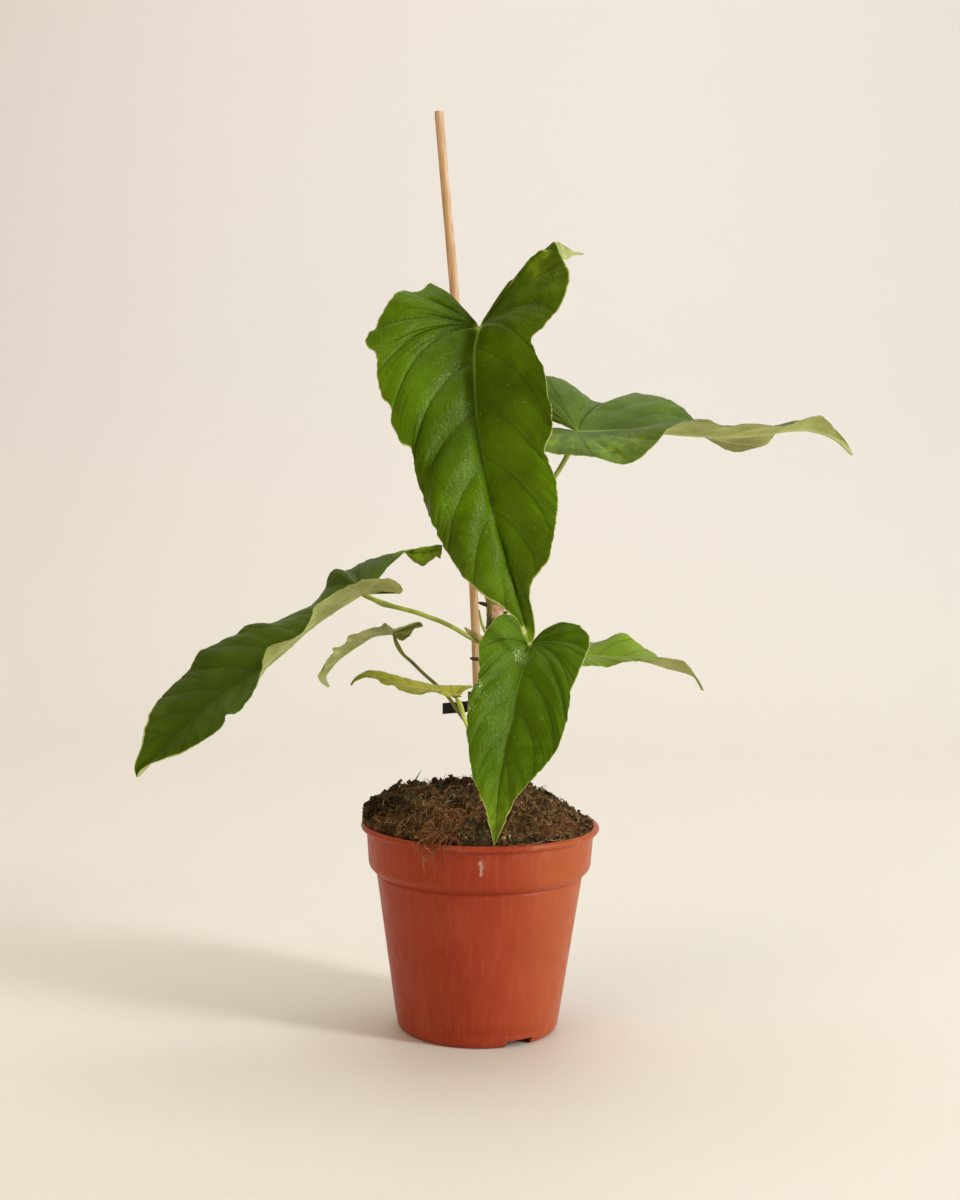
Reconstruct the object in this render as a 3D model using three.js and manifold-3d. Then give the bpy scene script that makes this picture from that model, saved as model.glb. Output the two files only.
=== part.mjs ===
// A potted anthurium: seven leaves on a short stem, held to a wooden stake by a black tie,
// in a terracotta-coloured plastic pot filled with mossy soil.
// Millimetres, +Z up. The origin is the centre of the pot's base, on the surface it stands on.
// The front of the plant looks along -Y.
import * as THREE from "three";
import Module from "manifold-3d";

const wasm = await Module();
wasm.setup();

// Clearances and wall thicknesses
const GAP = 0.3;
const LEAF_THICKNESS = 0.8;
const LEAF_EDGE_THICKNESS = 0.64;

// Pot: a foot, a tapered body, a wider collar and a turned-out lip
const POT_HEIGHT = 103.7;
const POT_LIP_RADIUS = 60;
const POT_MOUTH_RADIUS = 56.6;
const POT_COLLAR_TOP = { radius: 57.2, height: 100.6 };
const POT_COLLAR_FOOT = { radius: 56, height: 84.2 };
const POT_BODY_TOP = { radius: 52, height: 79 };
const POT_FOOT_TOP = { radius: 41.2, height: 7 };
const POT_BASE_RADIUS = 38.6;
const POT_WALL = 1.3;
const POT_FLOOR = 2.2;
const POT_SEGMENTS = 44;

// Three pockets are moulded up into the floor, each open to the side through a notch, with a drain hole
const POCKET_COUNT = 3;
const POCKET_FIRST_ANGLE = -59;
const POCKET_TOP = 5.6;
const POCKET_WIDTH = 18;
const POCKET_LENGTH = 13;
const POCKET_CENTRE = 32.5;
const NOTCH_HEIGHT = 3.6;
const NOTCH_WIDTH = 14.5;
const NOTCH_INNER_END = 28;
const DRAIN_RADIUS = 3;

// Soil
const SOIL_RADIUS = POT_MOUTH_RADIUS - GAP;
const SOIL_SEGMENTS = 40;
const SOIL_RINGS = [8, 16, 24, 31, 38, 44, 49, 53];
const SOIL_OVERHANG = 3.2;

// Stem and stake
const STEM_RADIUS = 4.2;
const STEM_ROUTE = [
  [4, -4, 88], [4, -4, 115], [4, -4, 136], [4.5, -4, 166], [5, -3, 196.5],
  [6, -2, 211.5], [7.5, -1, 223.5], [9.5, 0, 233.5], [11, 1, 245],
];
const STAKE_RADIUS = 2.3;
const STAKE_ROUTE = [
  [0.5, 7.5, 30], [-0.5, 8, 113.5], [-3.3, 11, 189.5], [-5.3, 12, 223],
  [-11, 15, 301], [-18, 19, 379.5], [-22.2, 21, 420], [-26.3, 23, 461],
];

// Tie
const TIE_HEIGHT = 5.6;
const TIE_THICKNESS = 1;
const TIE_LEVEL = 161.2;
const TIE_TAIL_LENGTH = 15;
const TIE_TAIL_DROOP = 5;

// Leaf blades. Each is a midrib from the stalk's end to the tip, and the margin on each side, from the notch
// at the stalk round the lobe to the tip. Left is the side on the left hand when the leaf hangs tip down
// with its upper face towards you. fan is the share of the margin that the veins from the stalk's end reach,
// sweep is how far the veins bow towards the notch, and dome is the blade's bulge between midrib and margin.
const FRONT_LARGE_BLADE = {
  midrib: [
    [-4, -34, 348], [-6, -40, 337.5], [-6, -47, 326], [-4.5, -56, 305.5], [1, -63, 275.5],
    [5.5, -65, 255.5], [11, -64, 238], [16.5, -60, 219], [22, -54, 198],
  ],
  left: [
    [-13, -31, 354.5], [-22, -28, 365.5], [-24.5, -30, 365.5], [-28, -30, 368.5], [-31.5, -34, 365],
    [-35, -37, 363.5], [-40, -40, 364], [-44, -44, 362], [-50.5, -50.5, 350], [-53, -54, 344],
    [-55.5, -57, 342], [-56.5, -58.5, 338], [-55, -58.5, 335], [-52, -57, 333.5], [-51, -57.5, 327.5],
    [-50.5, -59.5, 320], [-48, -61, 313], [-44, -62.5, 308], [-44, -64, 302], [-39, -65.5, 291.5],
    [-35, -64.5, 290], [-31, -66, 273.5], [-27, -66, 264], [-24.5, -72.5, 256.5], [-19.5, -71, 246],
    [-10, -69, 232], [1.5, -66, 221.5], [6.5, -64, 219], [11.5, -62, 214.5], [16, -60, 210.5],
    [18.5, -57, 203.5],
  ],
  right: [
    [0.5, -36, 352.5], [5, -39, 359], [10.5, -43, 369], [15, -45, 371.5], [18.5, -47, 375],
    [19, -48, 377.5], [24.5, -49, 383], [28, -50, 382.5], [30, -49, 386.5], [34, -56, 378.5],
    [37.5, -64, 369], [36, -66.5, 363], [33, -68, 355.5], [29, -68.5, 350], [24.5, -68.5, 344.5],
    [21.5, -67.5, 342.5], [20, -67.5, 339], [22, -70, 334], [26, -73.5, 324], [28, -75, 313.5],
    [29.5, -75.5, 308], [29.5, -75.5, 297], [26.5, -75, 290], [28.5, -75.5, 283.5], [31.5, -76, 276.5],
    [33, -75.5, 267], [31, -72.5, 248.5], [29.5, -71, 240], [25, -69, 233.5], [21.5, -67, 227],
    [21.5, -64.5, 220], [24, -59, 208.5], [24, -56, 203],
  ],
  fan: { left: 0.48, right: 0.48 },
  sweep: { left: 0.7, right: 0.6 },
  dome: { left: [0, 1, 1, 2, 3, 4, 3, 0], right: [0, 1, 2, 2, 2, 2, 1, 0] },
  rows: 25,
};

// The end of the large leaf's right lobe, folded over to the back
const FRONT_LARGE_LOBE_END = {
  midrib: [[30.5, -51, 382.5], [36, -47, 382.5], [40, -44, 382], [44.5, -42, 382]],
  left: [[30, -49, 385.5], [32.5, -46, 387], [36, -44, 385.5], [40, -43, 383], [42, -42.5, 383]],
  right: [[33, -55, 378.5], [35, -54, 377.5], [38, -48, 380], [41.5, -44.5, 381.5]],
  fan: { left: 0.1, right: 0.1 },
  sweep: { left: 0, right: 0 },
  dome: { left: [0, 0], right: [0, 0] },
  rows: 6,
};

const BACK_RIGHT_BLADE = {
  midrib: [
    [47, 30, 301.5], [61, 30, 302], [76, 30, 303], [92, 31, 301.5], [110.5, 32, 300.5], [128.5, 33, 300.5],
    [144.5, 34, 302], [157.5, 35, 304], [171, 38, 304], [182.5, 41, 300], [192.5, 44, 292],
  ],
  left: [
    [39.5, 28, 301], [32.5, 24, 301], [22, 16, 300.5], [14.5, 6, 297.5], [13, -2, 294], [18, -8, 291],
    [27.5, -10, 290], [41.5, -12, 288.5], [52, -13, 288], [62.5, -14, 285], [68, -14, 284.5],
    [73.5, -14, 286], [78.5, -13, 290], [84, -10, 295], [89, -6, 301], [96, -2, 305],
    [104.5, 1, 306.5], [109.5, 3, 307.5], [114.5, 4, 306], [120.5, 5, 304], [127, 6, 304.5],
    [133.5, 8, 306], [139, 9, 306], [145.5, 11, 305], [152.5, 14, 305.5], [159, 18, 308],
    [168, 24, 311], [173.5, 30, 311], [180.5, 36, 305.5], [187.5, 41, 299.5],
  ],
  right: [
    [38, 34, 305.5], [32, 40, 308.5], [25, 48, 314.5], [21, 56, 322.5], [24.5, 62, 329.5],
    [31.5, 65, 332], [39, 67, 331], [48.5, 68, 325.5], [56.5, 69, 320], [65.5, 70, 318.5],
    [72, 71, 320], [79.5, 71, 324], [86, 71, 323.5], [97, 69, 321], [103, 68, 318], [113, 66, 308.5],
    [119, 65, 301], [123, 64, 297], [129, 63, 294], [135.5, 61, 293], [142.5, 60, 294.5],
    [148.5, 58, 297], [152, 56, 300.5], [155.5, 55, 306], [160.5, 54, 308.5], [168.5, 50, 310.5],
    [176, 47, 310], [183.5, 46, 304.5], [188.5, 45, 298],
  ],
  fan: { left: 0.38, right: 0.42 },
  sweep: { left: 0.25, right: 0.3 },
  dome: { left: [0, 2, 3, 3, 2, 1, 1, 0], right: [0, 2, 3, 3, 2, 1, 1, 0] },
  rows: 27,
};

const LEFT_LARGE_BLADE = {
  midrib: [
    [-60, -15, 219], [-72.5, -18, 211], [-85.5, -22, 201.5], [-96.5, -26, 191], [-107, -29, 182.5],
    [-113.5, -31, 178.5], [-125.5, -36, 170], [-142, -43, 156], [-154, -48, 143], [-163, -52, 133],
  ],
  left: [
    [-57.5, -4, 225.5], [-54.5, 2, 228.5], [-50, 8, 232], [-45.5, 14, 237], [-42.5, 17, 238.5],
    [-40, 19, 239], [-42.5, 18, 239.5], [-46, 17, 238], [-54.5, 16, 236], [-62.5, 15, 233],
    [-67.5, 14, 230], [-70.5, 13, 229], [-76, 12, 229.5], [-78, 11, 227.5], [-79.5, 10, 222.5],
    [-81.5, 9, 217.5], [-88, 8, 210.5], [-97.5, 6, 206], [-112.5, 3, 200], [-118.5, 2, 201],
    [-123, 0, 197.5], [-133, -3, 192.5], [-140.5, -5, 189], [-142.5, -7, 186.5], [-145, -10, 180.5],
    [-149, -13, 176], [-157.5, -21, 167], [-161, -29, 160], [-162.5, -36, 153.5], [-162.5, -42, 147.5],
    [-164.5, -50, 137.5],
  ],
  right: [
    [-57, -16, 221.5], [-53, -20, 223], [-48.5, -26, 223], [-44, -32, 222], [-40, -37, 221],
    [-39, -40, 223.5], [-41, -42, 226], [-44, -44, 228], [-49, -46, 228.5], [-54, -47, 228.5],
    [-58, -48, 227], [-70, -48, 221.5], [-75.5, -49, 218], [-80, -49, 214.5], [-81, -49, 210.5],
    [-84.5, -50, 203.5], [-91.5, -52, 199], [-99, -53, 197], [-101.5, -54, 195], [-102.5, -55, 190.5],
    [-104.5, -56, 182], [-106, -57, 177.5], [-109, -58, 171.5], [-112.5, -59, 167],
    [-115.5, -59, 164.5], [-120, -58, 164], [-120, -59, 161.5], [-121.5, -59, 158.5],
    [-125.5, -59, 155], [-133, -58, 150], [-141.5, -57, 145], [-154.5, -54, 140.5], [-161, -53, 136.5],
  ],
  fan: { left: 0.36, right: 0.3 },
  sweep: { left: 0.2, right: 0.1 },
  dome: { left: [0, 1, 2, 2, 3, 2, 1, 0], right: [0, 0, 0, -1, -1, 0, 1, 0] },
  rows: 26,
};

// The end of the left leaf's far lobe, beyond its narrow neck
const LEFT_LARGE_LOBE_END = {
  midrib: [[-42, 18, 239], [-38.5, 19, 239], [-33, 21, 238.5], [-27.5, 21, 239.5], [-21.5, 20, 240.5]],
  left: [[-38.5, 18, 239.5], [-34, 17, 241], [-27.5, 17, 242], [-22, 18, 243]],
  right: [
    [-39, 20, 238.5], [-37.5, 22, 236], [-35.5, 23, 233.5], [-31, 24, 231.5], [-27, 23, 234.5],
    [-24.5, 22, 236.5], [-22.5, 21, 235.5],
  ],
  fan: { left: 0.2, right: 0.15 },
  sweep: { left: 0, right: 0 },
  dome: { left: [0, 1, 1, 0], right: [0, 1, 1, 0] },
  rows: 8,
};

const BACK_LEFT_BLADE = {
  midrib: [
    [-46, 25, 196.5], [-50.5, 25, 196], [-56.5, 24, 195], [-64.5, 23, 190], [-73.5, 22, 183.5],
    [-78, 21, 178.5], [-81, 20, 173.5], [-79, 19, 168.5],
  ],
  left: [
    [-44, 28, 197], [-40, 31, 198], [-37, 33, 199], [-40, 35, 199], [-46.5, 35, 198], [-51, 34, 198.5],
    [-56.5, 33.5, 197.5], [-63, 33, 195.5], [-69, 32.5, 192], [-74, 31, 188], [-79.5, 30, 183],
    [-82, 28, 178.5], [-84, 26, 173.5], [-82.5, 23, 170],
  ],
  right: [
    [-44.5, 22, 194.5], [-41.5, 17, 193.5], [-38.5, 13, 195], [-36, 10, 198.5], [-33.5, 8, 202],
    [-30.5, 7, 201.5], [-31.5, 7, 204], [-35.5, 6, 203], [-41.5, 6, 200.5], [-45, 6, 199.5],
    [-47.5, 7, 202], [-50, 8, 203], [-52, 8, 201], [-56.5, 8, 200.5], [-61.5, 8, 198.5],
    [-68.5, 8, 195.5], [-69, 9, 192.5], [-72, 9, 190.5], [-76, 9, 189.5], [-75.5, 10, 187.5],
    [-79, 10, 184], [-80.5, 11, 181], [-80.5, 13, 179], [-84, 15, 175], [-83, 17, 171.5],
  ],
  fan: { left: 0.34, right: 0.38 },
  sweep: { left: 0.1, right: 0.05 },
  dome: { left: [0, 1, 1, 1, 1, 1, 0, 0], right: [0, 1, 1, 0, 0, 0, 0, 0] },
  rows: 15,
};

const YOUNG_BLADE = {
  midrib: [
    [-13, -10, 168], [-18.5, -9, 170.5], [-28.5, -8, 172], [-41, -8, 174.5], [-50.5, -9, 177.5],
    [-58.5, -10, 179], [-63, -11, 177], [-65.5, -12, 173.5],
  ],
  left: [
    [-10.5, -8.5, 169.5], [-8, -6.5, 171.5], [-4.5, -4, 172.5], [-8, -0.5, 173], [-14.5, 2, 172.5],
    [-22, 3, 172.5], [-29, 3, 173], [-37.5, 2.5, 175.5], [-46, 0.5, 177.5], [-51, -1, 179.5],
    [-56, -3.5, 180], [-60, -6, 179], [-63.5, -9, 177],
  ],
  right: [
    [-11, -11, 168.5], [-10, -15.5, 169.5], [-12.5, -20, 170], [-18, -22, 170], [-23.5, -22.5, 172],
    [-27.5, -23.5, 171.5], [-31, -23.5, 170.5], [-36, -23.5, 171.5], [-40.5, -22.5, 173],
    [-43.5, -22, 175], [-46, -21, 174.5], [-49.5, -20.5, 175.5], [-52.5, -19, 177.5], [-56, -17, 178],
    [-60.5, -14, 177],
  ],
  fan: { left: 0.24, right: 0.2 },
  sweep: { left: 0.1, right: 0.1 },
  dome: { left: [0, 1, 1, 1, 1, 1, 0, 0], right: [0, 1, 1, 1, 1, 1, 0, 0] },
  rows: 14,
};

const FRONT_HEART_BLADE = {
  midrib: [
    [22.5, -38, 197], [20, -47, 189.5], [16.5, -57, 178], [14.5, -64, 166], [11.5, -69, 155],
    [9, -73, 140], [7.5, -74, 124.5], [6.5, -73, 107],
  ],
  left: [
    [20, -37, 198.5], [18, -37, 201.5], [16.5, -38, 207.5], [13.5, -40, 211.5], [8, -43, 212],
    [3.5, -48, 208.5], [0, -52, 203], [-2, -56, 198], [-2, -63, 185.5], [-2.5, -65, 181.5],
    [-5, -67, 178], [-6.5, -70, 172], [-7, -73, 164.5], [-6.5, -75, 156], [-3.5, -77, 139.5],
    [0, -77, 130.5], [3, -76, 121.5],
  ],
  right: [
    [25.5, -38, 200], [30, -40, 204.5], [35.5, -43, 208.5], [42.5, -48, 208.5], [46.5, -52, 207],
    [49.5, -56, 203.5], [50, -59, 199.5], [48, -62, 195], [42.5, -68, 183], [40.5, -70, 179],
    [40.5, -73, 174.5], [37, -77, 160.5], [34, -78, 152.5], [26, -78, 142], [22, -78, 138],
    [16, -77, 130], [10, -75, 115.5],
  ],
  fan: { left: 0.46, right: 0.5 },
  sweep: { left: 0.5, right: 0.5 },
  dome: { left: [0, 1, 2, 3, 3, 2, 1, 0], right: [0, 1, 2, 3, 3, 2, 1, 0] },
  rows: 18,
};

const RIGHT_SMALL_BLADE = {
  midrib: [
    [46.5, 4, 188], [52.5, 4, 188.5], [61.5, 4, 188], [70.5, 4, 187.5], [80.5, 4, 186.5], [87, 4, 185],
    [93, 5, 183], [103, 6, 180.5], [108, 8, 178], [112.5, 9, 171],
  ],
  left: [
    [44, 0, 186.5], [41.5, -5, 184.5], [44.5, -10, 184], [50, -13, 185], [61.5, -15, 185],
    [69, -14.5, 187], [75.5, -13, 187.5], [82, -11, 188], [88, -8.5, 188.5], [94.5, -5, 188],
    [100.5, -2, 187], [104.5, 1.5, 183], [108.5, 4.5, 177.5],
  ],
  right: [
    [44, 7, 191], [42, 11, 194], [44.5, 16.5, 196], [50, 21, 195], [55, 22, 193.5], [63, 23.5, 194.5],
    [71, 24.5, 198.5], [75, 23.5, 197], [82, 22, 192], [87.5, 20, 188.5], [92, 17.5, 186],
    [97, 14.5, 185.5], [102.5, 11.5, 185.5], [105.5, 10.5, 182], [109, 9, 177],
  ],
  fan: { left: 0.3, right: 0.34 },
  sweep: { left: 0.2, right: 0.2 },
  dome: { left: [0, 1, 1, 1, 1, 1, 0, 0], right: [0, 1, 1, 1, 1, 1, 0, 0] },
  rows: 17,
};

// Leaves, each with its stalk's route from inside the stem to the blade. A stalk widens at the stem over
// STALK_FOOT_LENGTH, and swells at a knee that lies knee millimetres before the blade.
const STALK_FOOT_LENGTH = 9;
const LEAVES = [
  {
    name: "leaf_front_large",
    color: 0x3d6612,
    blades: [FRONT_LARGE_BLADE, FRONT_LARGE_LOBE_END],
    stalk: [[8, -4, 222.5], [11, -8, 244], [11, -11, 276], [6.5, -14, 305.5], [1, -19, 334], [-3, -27, 344],
      [-4, -33.5, 347.6]],
    stalkRadius: 1.5,
    knee: 12,
  },
  {
    name: "leaf_back_right",
    color: 0x4a7238,
    blades: [BACK_RIGHT_BLADE],
    stalk: [[10, 1, 228.5], [14, 7, 240], [23, 16, 257.5], [32, 22, 273], [36, 25, 279], [41.5, 28, 288.5],
      [45, 29, 297], [46.8, 30, 301]],
    stalkRadius: 1.3,
    knee: 10,
  },
  {
    name: "leaf_left_large",
    color: 0x3c620f,
    blades: [LEFT_LARGE_BLADE, LEFT_LARGE_LOBE_END],
    stalk: [[3.5, -5, 193.5], [-4.5, -9, 197], [-9.5, -11, 199.8], [-14, -12, 202.6], [-21, -13, 206],
      [-26.5, -14, 208], [-32, -14, 210], [-43.5, -15, 213], [-49, -15, 214.4], [-55, -15, 216.9],
      [-59.5, -15, 218.6]],
    stalkRadius: 1.4,
    knee: 11,
  },
  {
    name: "leaf_back_left_small",
    color: 0x56762c,
    blades: [BACK_LEFT_BLADE],
    stalk: [[2.5, -3, 140], [-8, 2, 154], [-12, 2, 159.5], [-17, 6, 166], [-23, 10, 171.5], [-30, 14, 177],
      [-37, 19, 183], [-41, 22, 186], [-44.5, 24, 191.5], [-46, 25, 196]],
    stalkRadius: 0.9,
    knee: 7,
  },
  {
    name: "leaf_young",
    color: 0x8ea62e,
    blades: [YOUNG_BLADE],
    stalk: [[2.5, -5, 133.5], [-5, -8, 149], [-8.5, -9, 157], [-11, -10, 164.5], [-12.8, -10, 167.8]],
    stalkRadius: 1,
    knee: 5,
  },
  {
    name: "leaf_front_heart",
    color: 0x47761b,
    blades: [FRONT_HEART_BLADE],
    stalk: [[4.7, -4, 168.5], [8, -9, 177], [14, -20, 188], [19, -31, 195], [22.3, -37.6, 197]],
    stalkRadius: 1.3,
    knee: 8,
  },
  {
    name: "leaf_right_small",
    color: 0x4f7d22,
    blades: [RIGHT_SMALL_BLADE],
    stalk: [[5, -3.4, 176], [10, -1.5, 182], [19, 1, 186.5], [34, 3, 188], [46.3, 4, 188]],
    stalkRadius: 1.1,
    knee: 7,
  },
];

const toVector = (point) => new THREE.Vector3(...point);

function curveThrough(points) {
  const curve = new THREE.CatmullRomCurve3(points.map(toVector), false, "centripetal");
  curve.arcLengthDivisions = 600;
  return curve;
}

// Linear value along a list of evenly spaced stations
function alongStations(values, t) {
  const place = t * (values.length - 1);
  const low = Math.min(Math.floor(place), values.length - 2);
  return THREE.MathUtils.lerp(values[low], values[low + 1], place - low);
}

function solidFromTriangles(points, triangles) {
  const vertProperties = new Float32Array(points.flatMap((point) => [point.x, point.y, point.z]));
  const triVerts = new Uint32Array(triangles.flat());
  return new wasm.Manifold(new wasm.Mesh({ numProp: 3, vertProperties, triVerts }));
}

// Solid of a closed three.js geometry, with equal vertices shared
function solidFromGeometry(geometry) {
  const source = geometry.index ? geometry.toNonIndexed() : geometry;
  const position = source.attributes.position;
  const numbers = new Map();
  const points = [];
  const corners = [];
  for (let i = 0; i < position.count; i++) {
    const point = new THREE.Vector3().fromBufferAttribute(position, i);
    const key = point.toArray().map((value) => Math.round(value * 10000)).join();
    if (!numbers.has(key)) {
      numbers.set(key, points.length);
      points.push(point);
    }
    corners.push(numbers.get(key));
  }
  const triangles = [];
  for (let i = 0; i < corners.length; i += 3) {
    const [a, b, c] = corners.slice(i, i + 3);
    if (a !== b && b !== c && c !== a) {
      triangles.push([a, b, c]);
    }
  }
  return solidFromTriangles(points, triangles);
}

function geometryFromSolid(solid) {
  const mesh = solid.getMesh();
  const geometry = new THREE.BufferGeometry();
  geometry.setAttribute("position", new THREE.BufferAttribute(new Float32Array(mesh.vertProperties), 3));
  geometry.setIndex(new THREE.BufferAttribute(new Uint32Array(mesh.triVerts), 1));
  geometry.computeVertexNormals();
  return geometry;
}

// Round tube along a route, with a radius for each share of its length, and flat closed ends
function taperedTube(route, radiusAt, steps, sides) {
  const curve = curveThrough(route);
  const frames = curve.computeFrenetFrames(steps, false);
  const points = [];
  for (let i = 0; i <= steps; i++) {
    const centre = curve.getPointAt(i / steps);
    const radius = radiusAt(i / steps, curve.getLength());
    for (let j = 0; j < sides; j++) {
      const angle = (2 * Math.PI * j) / sides;
      const point = centre.clone();
      point.addScaledVector(frames.normals[i], radius * Math.cos(angle));
      point.addScaledVector(frames.binormals[i], radius * Math.sin(angle));
      points.push(point);
    }
  }
  const triangles = [];
  for (let i = 0; i < steps; i++) {
    for (let j = 0; j < sides; j++) {
      const a = i * sides + j;
      const b = i * sides + ((j + 1) % sides);
      triangles.push([a, b, b + sides], [a, b + sides, a + sides]);
    }
  }
  const start = points.length;
  points.push(curve.getPointAt(0), curve.getPointAt(1));
  for (let j = 0; j < sides; j++) {
    const next = (j + 1) % sides;
    triangles.push([start, next, j], [start + 1, steps * sides + j, steps * sides + next]);
  }
  return solidFromTriangles(points, triangles);
}

// One half of a blade as rows of points. Each row is a vein from the midrib to the margin: the first rows
// fan out from the stalk's end round the lobe, and the others leave the midrib at even steps to the tip.
function veinRows(blade, side, columns) {
  const turn = side === "left" ? 1 : -1;
  const midrib = curveThrough(blade.midrib);
  const margin = curveThrough([blade.midrib[0], ...blade[side], blade.midrib.at(-1)]);
  const fan = blade.fan[side];
  const fanRows = Math.max(Math.round((blade.rows * fan * 1.15) / (1 - fan)), 1);
  const places = [];
  for (let i = 1; i < fanRows; i++) {
    places.push({ t: (fan * i) / fanRows, along: 0 });
  }
  for (let i = 0; i <= blade.rows; i++) {
    const along = i / blade.rows;
    places.push({ t: fan + (1 - fan) * along ** 0.9, along });
  }
  const spine = places.map((place) => midrib.getPointAt(place.along));
  const edge = places.map((place) => margin.getPointAt(place.t));
  const faces = spine.map((foot, i) => {
    const before = edge[Math.max(i - 1, 0)];
    const after = edge[Math.min(i + 1, edge.length - 1)];
    const vein = edge[i].clone().sub(foot);
    return vein.cross(after.clone().sub(before)).multiplyScalar(turn);
  });
  return places.map((place, i) => {
    const up = new THREE.Vector3();
    places.forEach((other, k) => {
      up.addScaledVector(faces[k], Math.exp(-0.5 * ((place.t - other.t) / 0.045) ** 2));
    });
    up.normalize();
    const vein = edge[i].clone().sub(spine[i]);
    const ramp = THREE.MathUtils.smoothstep((place.t - 0.12) / (fan - 0.04), 0, 1);
    const fade = Math.min((1 - place.t) / 0.5, 1) ** 0.8;
    const toNotch = vein.clone().cross(up).multiplyScalar(turn * blade.sweep[side] * ramp * fade);
    const dome = 4 * alongStations(blade.dome[side], place.t);
    const row = [];
    for (let j = 0; j <= columns; j++) {
      const r = j / columns;
      const point = spine[i].clone().addScaledVector(vein, r);
      point.addScaledVector(toNotch, r * (1 - r));
      point.addScaledVector(up, dome * r * (1 - r));
      row.push(point);
    }
    return row;
  });
}

// Closed thin solid of a blade: both halves share the midrib, and the two faces have the same triangles
function bladeSolid(blade, columns) {
  const points = [];
  const numbers = new Map();
  const number = (point) => {
    const key = point.toArray().map((value) => Math.round(value * 1000)).join();
    if (!numbers.has(key)) {
      numbers.set(key, points.length);
      points.push(point);
    }
    return numbers.get(key);
  };
  const faces = [];
  for (const side of ["left", "right"]) {
    const rows = veinRows(blade, side, columns).map((row) => row.map(number));
    for (let i = 0; i + 1 < rows.length; i++) {
      for (let j = 0; j < columns; j++) {
        const [a, b, c, d] = [rows[i][j], rows[i][j + 1], rows[i + 1][j + 1], rows[i + 1][j]];
        for (const face of [[a, b, c], [a, c, d]]) {
          if (new Set(face).size === 3) {
            faces.push(side === "left" ? face : [face[0], face[2], face[1]]);
          }
        }
      }
    }
  }
  const normals = points.map(() => new THREE.Vector3());
  const edges = new Set();
  for (const [a, b, c] of faces) {
    const first = points[b].clone().sub(points[a]);
    const normal = first.cross(points[c].clone().sub(points[a]));
    for (const corner of [a, b, c]) {
      normals[corner].add(normal);
    }
    for (const edge of [[a, b], [b, c], [c, a]]) {
      edges.add(edge.join());
    }
  }
  const pairs = [...edges].map((edge) => edge.split(",").map(Number));
  const rim = pairs.filter(([a, b]) => !edges.has(`${b},${a}`));
  const onRim = new Set(rim.flat());
  const shift = points.map((point, i) => {
    const thickness = onRim.has(i) ? LEAF_EDGE_THICKNESS : LEAF_THICKNESS;
    return normals[i].normalize().multiplyScalar(thickness / 2);
  });
  const upper = points.map((point, i) => point.clone().add(shift[i]));
  const lower = points.map((point, i) => point.clone().sub(shift[i]));
  const count = points.length;
  const triangles = [...faces, ...faces.map(([a, b, c]) => [a + count, c + count, b + count])];
  for (const [a, b] of rim) {
    triangles.push([b, a, a + count], [b, a + count, b + count]);
  }
  return solidFromTriangles([...upper, ...lower], triangles);
}

// Pot: turned profile from the centre of the underside, up the outside, over the lip and down the inside
function makePot() {
  const profile = [
    [0, 0],
    [POT_BASE_RADIUS, 0],
    [POT_BASE_RADIUS + 1.6, 1.2],
    [POT_BASE_RADIUS + 2.3, 4],
    [POT_FOOT_TOP.radius, POT_FOOT_TOP.height],
    [POT_FOOT_TOP.radius + 0.3, POT_FOOT_TOP.height + 0.4],
    [POT_BODY_TOP.radius, POT_BODY_TOP.height],
    [POT_COLLAR_FOOT.radius - 0.6, POT_COLLAR_FOOT.height - 1.8],
    [POT_COLLAR_FOOT.radius, POT_COLLAR_FOOT.height],
    [POT_COLLAR_TOP.radius, POT_COLLAR_TOP.height],
    [POT_LIP_RADIUS - 0.4, POT_HEIGHT - 2.2],
    [POT_LIP_RADIUS, POT_HEIGHT - 1.1],
    [POT_LIP_RADIUS - 0.5, POT_HEIGHT - 0.2],
    [POT_LIP_RADIUS - 1.6, POT_HEIGHT],
    [POT_MOUTH_RADIUS, POT_HEIGHT - 0.6],
    [POT_COLLAR_FOOT.radius - 1.2, POT_COLLAR_FOOT.height + 1],
    [POT_BODY_TOP.radius - POT_WALL, POT_BODY_TOP.height + 0.5],
    [POT_FOOT_TOP.radius - 1.2, POT_FOOT_TOP.height + 1],
    [POT_BASE_RADIUS + 0.2, POT_FLOOR],
    [0, POT_FLOOR],
  ];
  const outline = profile.map(([radius, height]) => new THREE.Vector2(radius, height));
  outline.push(outline[0].clone());
  const turned = new THREE.LatheGeometry(outline, POT_SEGMENTS);
  turned.rotateX(Math.PI / 2);
  let pot = solidFromGeometry(turned);
  for (let i = 0; i < POCKET_COUNT; i++) {
    const angle = THREE.MathUtils.degToRad(POCKET_FIRST_ANGLE + (360 / POCKET_COUNT) * i);
    const pocketBottom = POT_FLOOR - 0.7;
    const pocket = new THREE.BoxGeometry(POCKET_LENGTH, POCKET_WIDTH, POCKET_TOP - pocketBottom);
    pocket.translate(POCKET_CENTRE, 0, (POCKET_TOP + pocketBottom) / 2);
    const notchLength = POT_LIP_RADIUS - NOTCH_INNER_END;
    const notch = new THREE.BoxGeometry(notchLength, NOTCH_WIDTH, 2 * NOTCH_HEIGHT);
    notch.translate(NOTCH_INNER_END + notchLength / 2, 0, 0);
    const drain = new THREE.CylinderGeometry(DRAIN_RADIUS, DRAIN_RADIUS, 2 * POCKET_TOP, 16);
    drain.rotateX(Math.PI / 2);
    drain.translate(POCKET_CENTRE, 0, POCKET_TOP);
    for (const shape of [pocket, notch, drain]) {
      shape.rotateZ(angle);
    }
    pot = pot.add(solidFromGeometry(pocket));
    pot = pot.subtract(solidFromGeometry(notch)).subtract(solidFromGeometry(drain));
  }
  return pot;
}

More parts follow.
